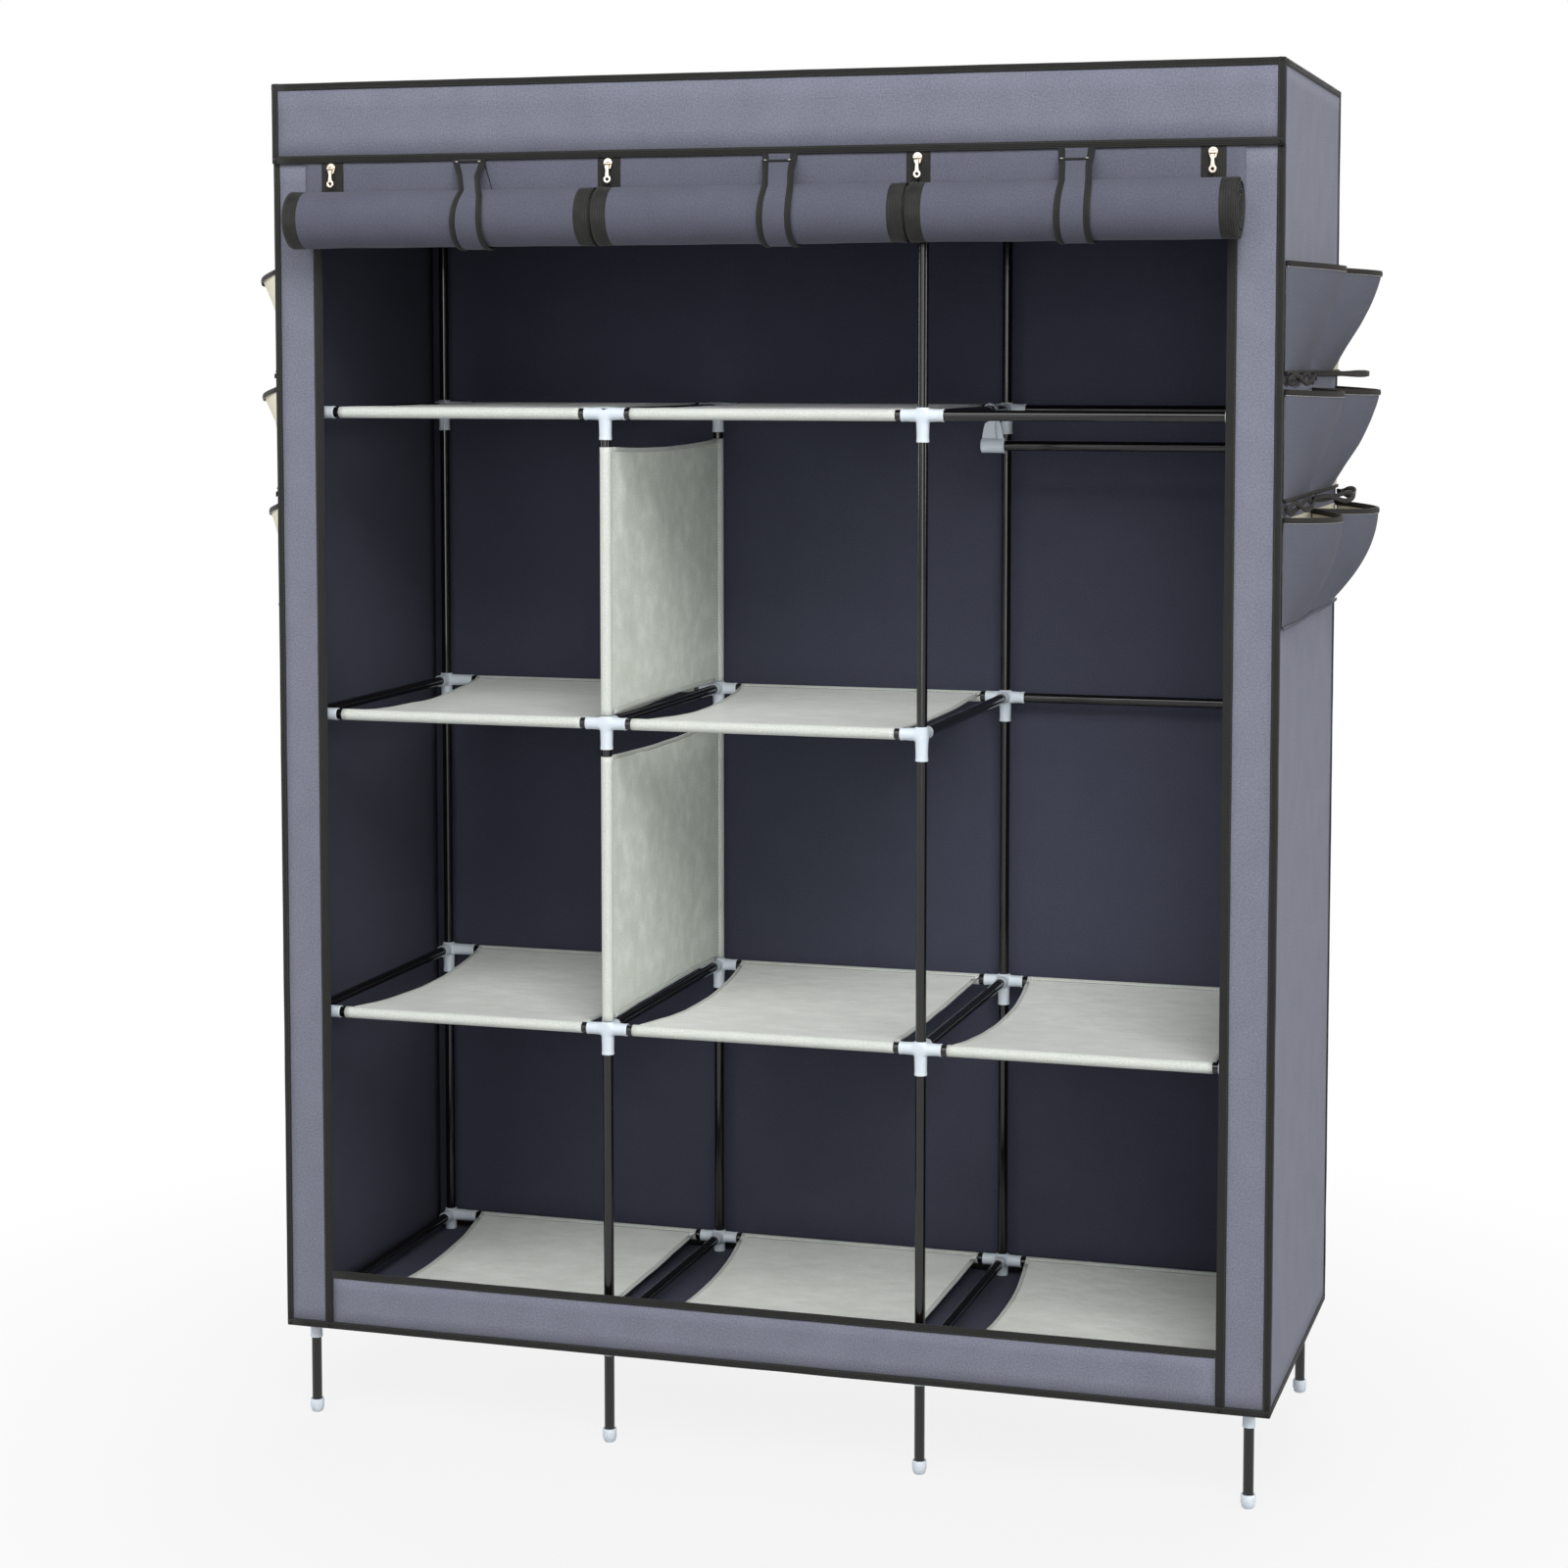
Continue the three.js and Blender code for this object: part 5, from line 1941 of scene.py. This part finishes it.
@dataclass(frozen=True)
class Strap:
    """A strap: a front half round the roll, a back half behind the door, and a bar across it."""

    name: str
    joint: str
    axis: Vector
    radius: float
    cover_front: float
    lowered_at: float
    fit: Fit
    cloth: float = 0.9 * MM
    front_gap: float = 0.6 * MM
    bend_drop: float = 4 * MM
    join_depth: float = 1.4 * MM
    join_rise: float = 2 * MM
    edge_width: float = 6.2 * MM
    edge_tape: float = 0.7 * MM
    pinch_at: float = 0.25
    pinch_spread: float = 0.14
    settled_share: float = 0.4
    sway: float = 1.6 * MM
    bar_half: float = 20 * MM
    bar_height: float = 4 * MM
    bar_lift: float = 0.8 * MM
    # The pale beads at the bar's ends are painted highlights.
    glint_bead_lift: float = 2.2 * MM
    glint_bead: Triple = (3.4 * MM, 1.2 * MM, 1.6 * MM)
    keep: float = 0.05

    @cached_property
    def box(self) -> Box:
        """The corners of the CAD strap."""
        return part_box(f"door_strap_{self.name}")

    @property
    def width(self) -> float:
        """How wide the strap is."""
        return self.box[1].x - self.box[0].x

    def build(self) -> None:
        """Builds both halves and the bar."""
        ring, head = self.radius + self.cloth, self.box[1].z
        front = self.cover_front - self.front_gap
        back = self.axis.y + self.radius + self.cloth
        bend, middle = Vector((front, head - self.bend_drop)), Vector((self.axis.y, self.axis.z))
        leave = bend - middle
        touch = math.degrees(math.atan2(leave.y, leave.x)) + math.degrees(math.acos(ring / leave.length))
        meet = math.degrees(math.acos((self.cover_front + self.join_depth - self.axis.y) / ring))
        around = arc(middle, ring, touch, 360 - meet, 26)
        front_line = Line((Vector((front, head)), bend, bend.lerp(around[0], 0.5), *around))
        up = Vector((back, self.axis.z + self.join_rise)), Vector((back, head))
        self.half(Half.FRONT, front_line, self.lowered_at)
        self.half(Half.BACK, Line((around[-1], *up)), back)
        self.bar(front_line)

    def leaning(self, share: float) -> float:
        """Tells how far the front half has strayed to the right.

        Args:
            share: The share of the way along it.

        Returns:
            How far to the right it lies there.
        """
        settled = min(1.0, share / self.settled_share)
        sway = self.sway * math.sin(FULL_TURN * share) * arch(share)
        return self.fit.lean * settled * settled * (3 - 2 * settled) + sway

    def point(self, part: Half, u: float, share: float, spot: Vector) -> Vector:
        """Places a point of the strap.

        Args:
            part: The half that it is on.
            u: How far from the left edge it lies.
            share: The share of the way along the half.
            spot: Its point on the half's line.

        Returns:
            The point.
        """
        left = self.box[0].x
        if part is Half.BACK:
            return Vector((left + u + self.fit.lean * (1 - share), spot.x, spot.y))
        bell = math.exp(-(((share - self.pinch_at) / self.pinch_spread) ** 2))
        middle = left + self.width / 2 + self.leaning(share)
        pinched = 1 - self.fit.pinch * bell
        return Vector((middle + (u - self.width / 2) * pinched, spot.x, spot.y))

    def half(self, part: Half, line: Line, anchor: float) -> None:
        """Builds a half with its bound edges, and applies the modifiers of all three.

        Args:
            part: Which half it is.
            line: Its line, front to back and up.
            anchor: Where, front to back, the half lies once the door is down; handed on to its bindings.
        """
        width, length, spots = self.width, line.length, line.spots
        columns = evenly(0, width, 8)
        mesh = cloth_grid(
            columns, line.distances, lambda u, v: self.point(part, u, v / length, spots[v])
        )
        strap = make_piece(mesh, f"strap_{part.value}_{self.name}", [DOOR_FACE])
        thicken(strap, self.cloth)
        settle(strap, "wardrobe", "strap_webbing", f"door_strap_{self.name}")
        tapes = [self.bound(part, line, anchor, side) for side in (0, 1)]
        line.length
        flatten(strap)

    def bound(self, part: Half, line: Line, anchor: float, side: int) -> Piece:
        """Builds the binding over an edge of a half.

        Args:
            part: Which half it is.
            line: The half's line.
            anchor: Not used.
            side: 0 for the left edge and 1 for the right.

        Returns:
            The binding.
        """
        x, inward = ((0.0, RIGHT), (self.width, -RIGHT))[side]
        edge = []
        for k, (distance, spot) in enumerate(line.spots.items()):
            ahead, behind = line.points[min(k + 1, len(line.points) - 1)], line.points[max(k - 1, 0)]
            run = (ahead - behind).normalized()
            point = self.point(part, x, distance / line.length, spot)
            edge.append(Station(point, inward, Vector((0, run.y, -run.x))))
        wide = self.edge_width
        over = [(wide, 0.3 * MM), (wide * 0.6, 1.3 * MM), (wide * 0.2, 1.2 * MM)]
        section = [*over, (-0.8 * MM, 0.2 * MM), (wide * 0.2, -0.9 * MM), (wide, -0.5 * MM)]
        name = f"strap_edge_{part.value}_{side + 1}_{self.name}"
        tape = make_piece(carry(section, edge), name, [BINDING], sharp=80)
        thicken(tape, self.edge_tape)
        settle(tape, "wardrobe", BINDING.slot)
        flatten(tape)
        return tape

    def bar(self, line: Line) -> None:
        """Builds the dark bar sewn across the strap, with a pale bead at each end, a painted highlight.

        Args:
            line: The line of the strap's front half.
        """
        half, tall, drop = self.bar_half, self.bar_height, self.fit.bar_drop
        top, foot = line.at(drop), line.at(drop + tall)
        run = (foot - top).normalized()
        down, out = Vector((0, run.x, run.y)), Vector((0, run.y, -run.x))
        middle = (self.box[0].x + self.box[1].x) / 2 + self.leaning(drop / line.length)
        edge = [
            Station(Vector((middle + x, top.x, top.y)) + out * self.bar_lift, down, out)
            for x in evenly(-half, half, 10)
        ]
        section = [(0, 0), (tall * 0.2, 1.1 * MM), (tall * 0.8, 1.1 * MM), (tall, 0)]
        bar = make_piece(carry(section, edge), f"strap_bar_{self.name}", [BINDING], sharp=80)
        thicken(bar, self.bar_lift)
        settle(bar, "wardrobe", BINDING.slot)
        # The pale beads at the bar's ends are painted highlights, in the colour of light thread.
        glint_beads = bmesh.new()
        for x in (-half * 0.8, half * 0.72):
            spot = Vector((middle + x, top.x, top.y)) + out * self.glint_bead_lift + down * tall / 2
            shape = Matrix.Translation(spot) @ Matrix.Diagonal((*self.glint_bead, 1))
            bmesh.ops.create_icosphere(glint_beads, subdivisions=2, radius=0.6, matrix=shape)
        sewn = make_piece(glint_beads, f"strap_knots_{self.name}", [THREAD])
        settle(sewn, "wardrobe", THREAD.slot)
        for piece in (bar, sewn):
            flatten(piece)


@dataclass(frozen=True)
class Door:
    """A door: the cloth from the header to its roll, the roll, and the strap that holds it."""

    name: str
    layout: Layout
    zips: Pair
    fit: Fit
    cloth: float = 1.5 * MM
    turns: int = 9
    steps: int = 36
    bore: float = 8 * MM
    winding_gap: float = 0.6 * MM
    band: float = 20 * MM
    fullness: float = 4 * MM
    slip: float = 2.2 * MM
    slack: float = 0.9 * MM
    roll_fold: float = 75 * MM
    wave: float = 1.1 * MM
    wave_fold: float = 80 * MM
    tape_width: float = 30 * MM
    tape_gap: float = 1.1 * MM
    tape: float = 0.7 * MM
    coil: float = 1.0 * MM
    coil_half: float = 2.4 * MM
    keep: float = 0.06
    # A lowered roll lies flat in front of the bindings and stitches of the strips.
    lowered_gap: float = 3.5 * MM

    @property
    def body(self) -> str:
        """The body that the roll moves with."""
        return f"door_{self.name}"

    @property
    def joint(self) -> str:
        """The joint that lowers the door."""
        return f"door_drop_{self.name}"

    @property
    def lowered_at(self) -> float:
        """Where, front to back, the roll and the front of the strap lie once the door is down."""
        return self.layout.cover_low.y - self.lowered_gap

    @cached_property
    def box(self) -> Box:
        """The corners of the CAD roll."""
        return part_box(f"door_roll_{self.name}")

    @cached_property
    def head(self) -> Vector:
        """The upper corner of the CAD door's hanging part."""
        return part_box(f"door_sheet_{self.name}")[1]

    @property
    def width(self) -> float:
        """How wide the door is."""
        return self.box[1].x - self.box[0].x

    @property
    def radius(self) -> float:
        """The outer radius of the roll."""
        return (self.box[1].z - self.box[0].z) / 2 + self.fullness

    @cached_property
    def axis(self) -> Vector:
        """A point on the axis of the roll."""
        return (self.box[0] + self.box[1]) / 2 - BACK * self.fullness

    @property
    def face(self) -> float:
        """Where, front to back, the middle of the hanging cloth lies."""
        return self.head.y - self.cloth / 2

    def build(self) -> None:
        """Builds the roll, the hanging cloth with its zip tapes, and the strap."""
        self.roll()
        self.sheet()
        front = self.layout.cover_low.y
        Strap(self.name, self.joint, self.axis, self.radius, front, self.lowered_at, self.fit).build()

    def wound(self, u: float, turn: float, spot: Vector) -> Vector:
        """Places a point of the roll, whose turns have slipped a little at its ends.

        Args:
            u: How far from the door's left edge it lies.
            turn: How many turns out from the first.
            spot: Its point on the wound line, about the axis.

        Returns:
            The point.
        """
        end = 1 - min(1.0, 6 * arch(u / self.width))
        slip = self.slip * math.sin(turn * 2.4) * end * (1 if u > self.width / 2 else -1)
        x = self.box[0].x + u
        slack = self.slack * (crease(Vector((x, spot.x, spot.y)), self.roll_fold, 2.0) - 0.6) * (1 - end)
        step = 1 + slack / spot.length
        return Vector((x - slip * 0.5, self.axis.y + spot.x * step, self.axis.z + spot.y * step))

    def roll(self) -> None:
        """Builds the wound part of the cloth, with its zip tapes at both ends."""
        pitch = (self.radius - self.cloth / 2 - self.winding_gap - self.bore) / self.turns
        points = []
        for k in range(self.turns * self.steps + 1):
            reach, angle = self.bore + pitch * k / self.steps, FULL_TURN * k / self.steps
            points.append(Vector((reach * math.cos(angle), reach * math.sin(angle))))
        line = Line(tuple(points))
        spots, width, band = line.spots, self.width, evenly(0, self.band, 5)
        turns = {distance: k / self.steps for k, distance in enumerate(line.distances)}
        plain = evenly(self.band, width - self.band, 34)[1:-1]
        columns = band + plain + [width - u for u in reversed(band)]
        mesh = cloth_grid(columns, line.distances, lambda u, v: self.wound(u, turns[v], spots[v]))
        pick_second(mesh, lambda u: min(u, width - u) < self.band)
        # The roll takes the darker tone of the door cloth, painted shade.
        piece = make_piece(mesh, f"rolled_cloth_{self.name}", [DOOR_FACE, ZIP_TAPE], sharp=80)
        thicken(piece, self.cloth)
        settle(piece, self.body, DOOR_FACE.slot, f"door_roll_{self.name}")
        line.length
        flatten(piece)

    def bend(self, piece: Piece, slot: str) -> Piece:
        """Bakes the placement of a hanging piece into its mesh, and logs the body of the door's roll.

        Args:
            piece: The piece.
            slot: Not used.

        Returns:
            The piece.
        """
        self.body
        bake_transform(piece)
        LOG.info("%s bends from wardrobe to %s", piece.name, self.body)
        return piece

    def sheet(self) -> None:
        """Builds the cloth between the header and the roll, with its zip tapes."""
        left, foot, width, tall = self.box[0].x, self.axis.z, self.width, self.head.z - self.axis.z

        def laid(u: float, v: float) -> Vector:
            """Returns the point for a place on the cut."""
            wave = arch(v / tall) * crease(Vector((left + u, 0, (foot + v) * 0.3)), self.wave_fold, 6.0)
            return Vector((left + u, self.face - abs(self.wave * wave), foot + v))

        mesh = cloth_grid(evenly(0, width, 40), evenly(0, tall, 24), laid)
        # The hanging cloth takes the lighter tone of the door cloth, painted light.
        piece = make_piece(mesh, f"hanging_cloth_{self.name}", [DOOR_FALL_LIT])
        thicken(piece, self.cloth * 0.8)
        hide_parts(f"door_sheet_{self.name}")
        self.bend(piece, DOOR_FALL_LIT.slot)
        tapes = [self.zip_tape(number, x) for number, x in enumerate(self.zips)]

    def zip_tape(self, number: int, x: float) -> Piece:
        """Builds the zip tape on one side of the door, with the ridge of its coil.

        Args:
            number: 0 for the left side and 1 for the right.
            x: Where the zip runs.

        Returns:
            The tape.
        """
        left = max(self.box[0].x, x - self.tape_width / 2)
        width = min(self.box[1].x, x + self.tape_width / 2) - left
        front, foot = self.face - self.tape_gap, self.axis.z

        def laid(u: float, v: float) -> Vector:
            """Returns the point for a place on the tape."""
            near = max(0.0, 1 - abs(left + u - x) / self.coil_half)
            return Vector((left + u, front - self.coil * near, foot + v))

        mesh = cloth_grid(evenly(0, width, 12), evenly(0, self.head.z - foot, 24), laid)
        piece = make_piece(mesh, f"zip_tape_{self.name}_{number + 1}", [ZIP_TAPE])
        thicken(piece, self.tape)
        return self.bend(piece, ZIP_TAPE.slot)


# Zips


@dataclass(frozen=True)
class Zip:
    """A zip's slider and its pull, which swings on a pin between the slider's ears."""

    number: int
    depth: float = 4 * MM
    tail_half: float = 3.2 * MM
    ear_radius: float = 2.3 * MM
    ear: float = 1.2 * MM
    ear_spread: float = 2.8 * MM
    ear_root: float = 0.5 * MM
    pin_drop: float = 2.3 * MM
    pin_half: float = 3.2 * MM
    pin_radius: float = 1.1 * MM
    pull_depth: float = 1.4 * MM
    ring_radius: float = 4.7 * MM
    ring_width: float = 2.8 * MM
    ring_edge: float = 0.3 * MM
    eye_radius: float = 2.2 * MM
    eye_half: float = 1.7 * MM
    shank_half: float = 2.5 * MM
    shank_inset: float = 1.6 * MM
    tip_inset: float = 1.2 * MM

    def build(self) -> None:
        """Builds the slider and the pull."""
        low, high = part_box(f"zip_slider_{self.number}")
        pull_low, pull_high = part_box(f"zip_pull_{self.number}")
        across, out = (low.x + high.x) / 2, (pull_low.y + pull_high.y) / 2
        pin = Vector((across, out, pull_high.z - self.pin_drop))
        self.slider(low, high, pin)
        self.pull(pin, pull_low.z)

    def slider(self, low: Vector, high: Vector, pin: Vector) -> None:
        """Builds the slider: a round head that narrows to its tail, with ears and a pin.

        Args:
            low: The lower corner of the CAD slider.
            high: Its upper corner.
            pin: The middle of the pin.
        """
        radius, height = (high.x - low.x) / 2, high.z - low.z
        mesh = bmesh.new()
        bmesh.ops.create_circle(mesh, cap_ends=True, segments=32, radius=radius)
        for vert in mesh.verts:
            if vert.co.y < 0:
                share = -vert.co.y / radius
                vert.co.x = math.copysign(radius + (self.tail_half - radius) * share, vert.co.x)
                vert.co.y = -share * (height - radius)
        bmesh.ops.remove_doubles(mesh, verts=mesh.verts[:], dist=0.05 * MM)
        top = extruded(mesh, mesh.faces[:][0])
        bmesh.ops.translate(mesh, verts=top.verts[:], vec=UP * self.depth)
        at = Matrix.Translation((pin.x, high.y, high.z - radius))
        stand = at @ Matrix.Rotation(math.pi / 2, 4, "X")
        bmesh.ops.transform(mesh, matrix=stand, verts=mesh.verts[:])
        for side in (-1, 1):
            middle = pin + RIGHT * side * self.ear_spread
            join_in(mesh, self.ear_at(middle, high.y - self.depth + self.ear_root))
        reach = RIGHT * self.pin_half
        join_in(mesh, rod(pin - reach, pin + reach, self.pin_radius, 0.3 * MM, 16))
        bmesh.ops.recalc_face_normals(mesh, faces=mesh.faces[:])
        piece = make_piece(mesh, f"slider_{self.number}_body", [ZIP_METAL], sharp=35)
        ease_edges(piece, 0.35 * MM, 3)
        settle(piece, f"slider_{self.number}", ZIP_METAL.slot, f"zip_slider_{self.number}")

    def ear_at(self, middle: Vector, root: float) -> Mesh:
        """Shapes an ear that stands out of the slider and holds the pin.

        Args:
            middle: Where the pin passes through it.
            root: Where, front to back, it meets the slider.

        Returns:
            The mesh of the ear.
        """
        mesh, radius = bmesh.new(), self.ear_radius
        bmesh.ops.create_cone(
            mesh, cap_ends=True, segments=20, radius1=radius, radius2=radius, depth=self.ear
        )
        bmesh.ops.transform(mesh, matrix=Matrix.Rotation(math.pi / 2, 4, "Y"), verts=mesh.verts[:])
        for vert in mesh.verts:
            if vert.co.y > 0:
                vert.co.y = root - middle.y
        bmesh.ops.translate(mesh, verts=mesh.verts[:], vec=middle)
        return mesh

    def pull(self, pin: Vector, foot: float) -> None:
        """Builds the pull: an eye round the pin, a waisted shank and a ring at its tip.

        Args:
            pin: The middle of the pin.
            foot: The height of the pull's tip.
        """
        outer, half, edge = self.ring_radius, self.pull_depth / 2, self.ring_edge
        inner = outer - self.ring_width + edge
        tip = Vector((pin.x, pin.y, foot + outer))
        rim = [(outer - edge, -half), (outer, -half / 2), (outer, half / 2), (outer - edge, half)]
        bore = [(inner, half), (outer - self.ring_width, 0), (inner, -half)]
        mesh = lathe([(inner, -half), *rim, *bore], 28)
        lie = Matrix.Translation(tip) @ Matrix.Rotation(math.pi / 2, 4, "X")
        bmesh.ops.transform(mesh, matrix=lie, verts=mesh.verts[:])
        reach = RIGHT * self.eye_half
        join_in(mesh, rod(pin - reach, pin + reach, self.eye_radius, 0.8 * MM, 20))
        join_in(mesh, self.shank(pin, pin.z - self.shank_inset, tip.z + outer - self.tip_inset))
        bmesh.ops.recalc_face_normals(mesh, faces=mesh.faces[:])
        piece = make_piece(mesh, f"pull_{self.number}_lever", [ZIP_METAL], sharp=35)
        ease_edges(piece, 0.3 * MM, 2)
        settle(piece, f"pull_{self.number}", ZIP_METAL.slot, f"zip_pull_{self.number}")

    def shank(self, pin: Vector, head: float, tail: float) -> Mesh:
        """Shapes the waisted shank between the eye and the ring.

        Args:
            pin: The middle of the pin.
            head: The height of its upper end.
            tail: The height of its lower end.

        Returns:
            The mesh of the shank.
        """
        mesh = bmesh.new()
        bmesh.ops.create_cube(mesh, size=2.0)
        bmesh.ops.subdivide_edges(mesh, edges=mesh.edges[:], cuts=4, use_grid_fill=True)
        for vert in mesh.verts:
            up = (vert.co.z + 1) / 2
            waist = 0.72 + 0.28 * abs(2 * up - 1) ** 1.5
            half = self.shank_half * (1 if up < 0.75 else 0.75) * waist
            spot = vert.co.x * half, vert.co.y * self.pull_depth / 2, tail + (head - tail) * up
            vert.co = Vector(spot) + Vector((pin.x, pin.y, 0))
        return mesh


# Studio


@dataclass(frozen=True)
class Lamp:
    """A soft square lamp that looks at the middle of the wardrobe.

    It stands turn degrees to the right of straight ahead of the doors and rise degrees up. The
    share is how much of a plain level it gives a face that looks at it.
    """

    name: str
    turn: float
    rise: float
    size: float
    share: float
    distance: float = 7.0
    middle: Triple = (0, 0.04, 0.9)

    def build(self) -> None:
        """Hangs the lamp."""
        turned, risen = math.radians(self.turn), math.radians(self.rise)
        ahead = math.cos(risen)
        way = Vector((math.sin(turned) * ahead, -math.cos(turned) * ahead, math.sin(risen)))
        data = bpy.data.lights.new(f"lamp_{self.name}", "AREA")
        data.shape = "SQUARE"
        data.size = self.size
        data.energy = self.share * (math.pi * self.distance) ** 2
        lamp = bpy.data.objects.new(f"lamp_{self.name}", data)
        lamp.location = Vector(self.middle) + way * self.distance
        lamp.rotation_euler = (-way).to_track_quat("-Z", "Y").to_euler()
        lamp.visible_camera = False
        bpy.context.scene.collection.objects.link(lamp)


@dataclass(frozen=True)
class Studio:
    """A pale floor, a white surround, soft lamps and the camera of the photograph."""

    lamps: tuple[Lamp, ...] = (
        Lamp("front", 24, 42, 3.4, 0.57),
        Lamp("front_left", -12, 42, 3.0, 0.23),
        Lamp("middle", 30, 24, 3.0, 0.16),
        Lamp("fill", -18, 10, 2.4, 0.09),
        Lamp("low", 14, 4, 2.4, 0.16),
        Lamp("right", 86, 12, 3.0, 0.46),
        Lamp("left", -88, 12, 3.0, 0.5),
        Lamp("rear", 180, 30, 3.0, 0.5),
    )
    camera_at: Triple = (1.1734, -3.9557, 1.3855)
    camera_turn: float = 0.2951
    camera_dip: float = 0.078
    lens: float = 73.34
    # The photograph's eye level lies at row 620 of its 1600, above the middle.
    eye_row: float = 620
    rows: float = 1600
    sensor: float = 36
    floor_half: float = 14.0
    floor_shade: float = 0.14
    shade_radius: float = 1.6
    ambient: float = 0.12
    mirrored: float = 0.22

    def build(self) -> None:
        """Builds the floor, the surround, the lamps and the camera."""
        bpy.context.scene.view_settings.view_transform = "Standard"
        self.floor()
        self.surround()
        for lamp in self.lamps:
            lamp.build()
        self.camera()

    def floor(self) -> None:
        """Builds the floor."""
        mesh = bmesh.new()
        bmesh.ops.create_grid(mesh, x_segments=1, y_segments=1, size=self.floor_half)
        data = bpy.data.meshes.new("studio_floor")
        mesh.to_mesh(data)
        mesh.free()
        floor = bpy.data.objects.new("studio_floor", data)
        bpy.context.scene.collection.objects.link(floor)
        data.materials.append(self.floor_paint())

    def floor_paint(self) -> bpy.types.Material:
        """Mixes the floor's paint, white to the camera but for a soft shadow near the feet.

        Returns:
            The material.
        """
        paint = bpy.data.materials.new("white_painted_studio_floor")
        paint.use_nodes = True
        tree = paint.node_tree
        shader = tree.nodes["Principled BSDF"]
        feed(tree, shader, {"Base Color": linear("#9c9c9c"), "Roughness": 0.9})
        path = add_node(tree, "ShaderNodeLightPath").outputs
        lit = add_node(tree, "ShaderNodeEmission", {"Color": linear("#ffffff"), "Strength": 1.0})
        rays = {0: path["Is Camera Ray"], 1: path["Is Glossy Ray"]}
        seen = add_node(tree, "ShaderNodeMath", rays, operation="MAXIMUM")
        place = add_node(tree, "ShaderNodeTexCoord").outputs["Object"]
        far = add_node(tree, "ShaderNodeVectorMath", {0: place}, operation="LENGTH").outputs["Value"]
        spread = {"Value": far, "From Min": self.shade_radius * 0.4, "From Max": self.shade_radius}
        levels = {"To Min": 1 - self.floor_shade, "To Max": 1.0}
        white = add_node(tree, "ShaderNodeMapRange", spread | levels)
        share = add_node(tree, "ShaderNodeMath", {0: seen, 1: white}, operation="MULTIPLY")
        blend = add_node(tree, "ShaderNodeMixShader", {0: share, 1: shader, 2: lit})
        feed(tree, tree.nodes["Material Output"], {"Surface": blend})
        return paint

    def surround(self) -> None:
        """Sets a surround that looks white but lights the object at a plain level."""
        world = bpy.data.worlds.new("studio_surround")
        bpy.context.scene.world = world
        world.use_nodes = True
        tree = world.node_tree
        path = add_node(tree, "ShaderNodeLightPath").outputs
        dimmed = {0: path["Is Glossy Ray"], 1: self.mirrored}
        mirrored = add_node(tree, "ShaderNodeMath", dimmed, operation="MULTIPLY")
        seen = {0: path["Is Camera Ray"], 1: mirrored}
        shown = add_node(tree, "ShaderNodeMath", seen, operation="MAXIMUM")
        passed = {0: shown, 1: path["Is Transmission Ray"]}
        white = add_node(tree, "ShaderNodeMath", passed, operation="MAXIMUM")
        strength = add_node(tree, "ShaderNodeMapRange", {"Value": white, "To Min": self.ambient})
        feed(tree, tree.nodes["Background"], {"Color": linear("#ffffff"), "Strength": strength})

    def camera(self) -> None:
        """Adds the camera at the photograph's viewing angle."""
        data = bpy.data.cameras.new("camera")
        data.lens = self.lens
        data.sensor_width = self.sensor
        data.shift_y = (self.eye_row - self.rows / 2) / self.rows
        camera = bpy.data.objects.new("camera", data)
        camera.location = self.camera_at
        camera.rotation_euler = (math.pi / 2 - self.camera_dip, 0, self.camera_turn)
        bpy.context.scene.collection.objects.link(camera)
        bpy.context.scene.camera = camera


# The whole wardrobe


def zip_places() -> list[float]:
    """Returns where the four zips run, from the middles of their sliders."""
    return [sum(corner.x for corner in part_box(f"zip_slider_{k}")) / 2 for k in (1, 2, 3, 4)]


def pocket_hangs() -> dict[str, tuple[int, tuple[Hang, Hang, Hang]]]:
    """Describes how the pockets hang.

    Returns:
        For each side, its direction and how its tiers hang from the top one down.
    """
    full = Hang((54 * MM, 70 * MM), 1.9, 2.0, 0.97)
    boxed = Hang((62 * MM, 60 * MM), 2.6, 1.0, 0.76, sag=14 * MM)
    high = {"slack_reaches": (7 * MM, 50 * MM), "slack_heights": (6.5 * MM, 1.5 * MM)}
    low = {"slack_reaches": (10 * MM, 34 * MM), "slack_heights": (8.5 * MM, 6 * MM)}
    right = (replace(full, slope_power=1.45, **high), replace(full, slope_power=1.55, **low), full)
    left = (
        replace(boxed, slack_reaches=(7 * MM, 30 * MM), slack_heights=(5 * MM, 3 * MM)),
        replace(boxed, slack_reaches=(10 * MM, 30 * MM), slack_heights=(7 * MM, 5 * MM)),
        replace(boxed, reaches=(52 * MM, 56 * MM)),
    )
    return {"right": (1, right), "left": (-1, left)}


def main() -> None:
    """Builds the wardrobe's looks piece by piece."""
    logging.basicConfig(level=logging.INFO, format="%(name)s: %(message)s")
    layout = Layout.of_frame()
    Studio().build()
    TubeFrame(layout).build()
    Lining(layout).build()
    HangingRail(layout).build()
    Cover(layout).build()
    for name, (side, hangs) in pocket_hangs().items():
        for tier, hang in enumerate(hangs, 1):
            PocketTier(f"pocket_{name}_{tier}", side, layout, hang).build()
    places = zip_places()
    fits = {
        "left": Fit(lean=25 * MM, bar_drop=1 * MM, pinch=0.42),
        "middle": Fit(lean=15 * MM, bar_drop=13 * MM),
        "right": Fit(lean=10 * MM, bar_drop=22 * MM),
    }
    for name, zips, fit in zip(fits, zip(places, places[1:]), fits.values()):
        Door(name, layout, zips, fit).build()
    for number in (1, 2, 3, 4):
        Zip(number).build()


if __name__ == "__main__":
    main()
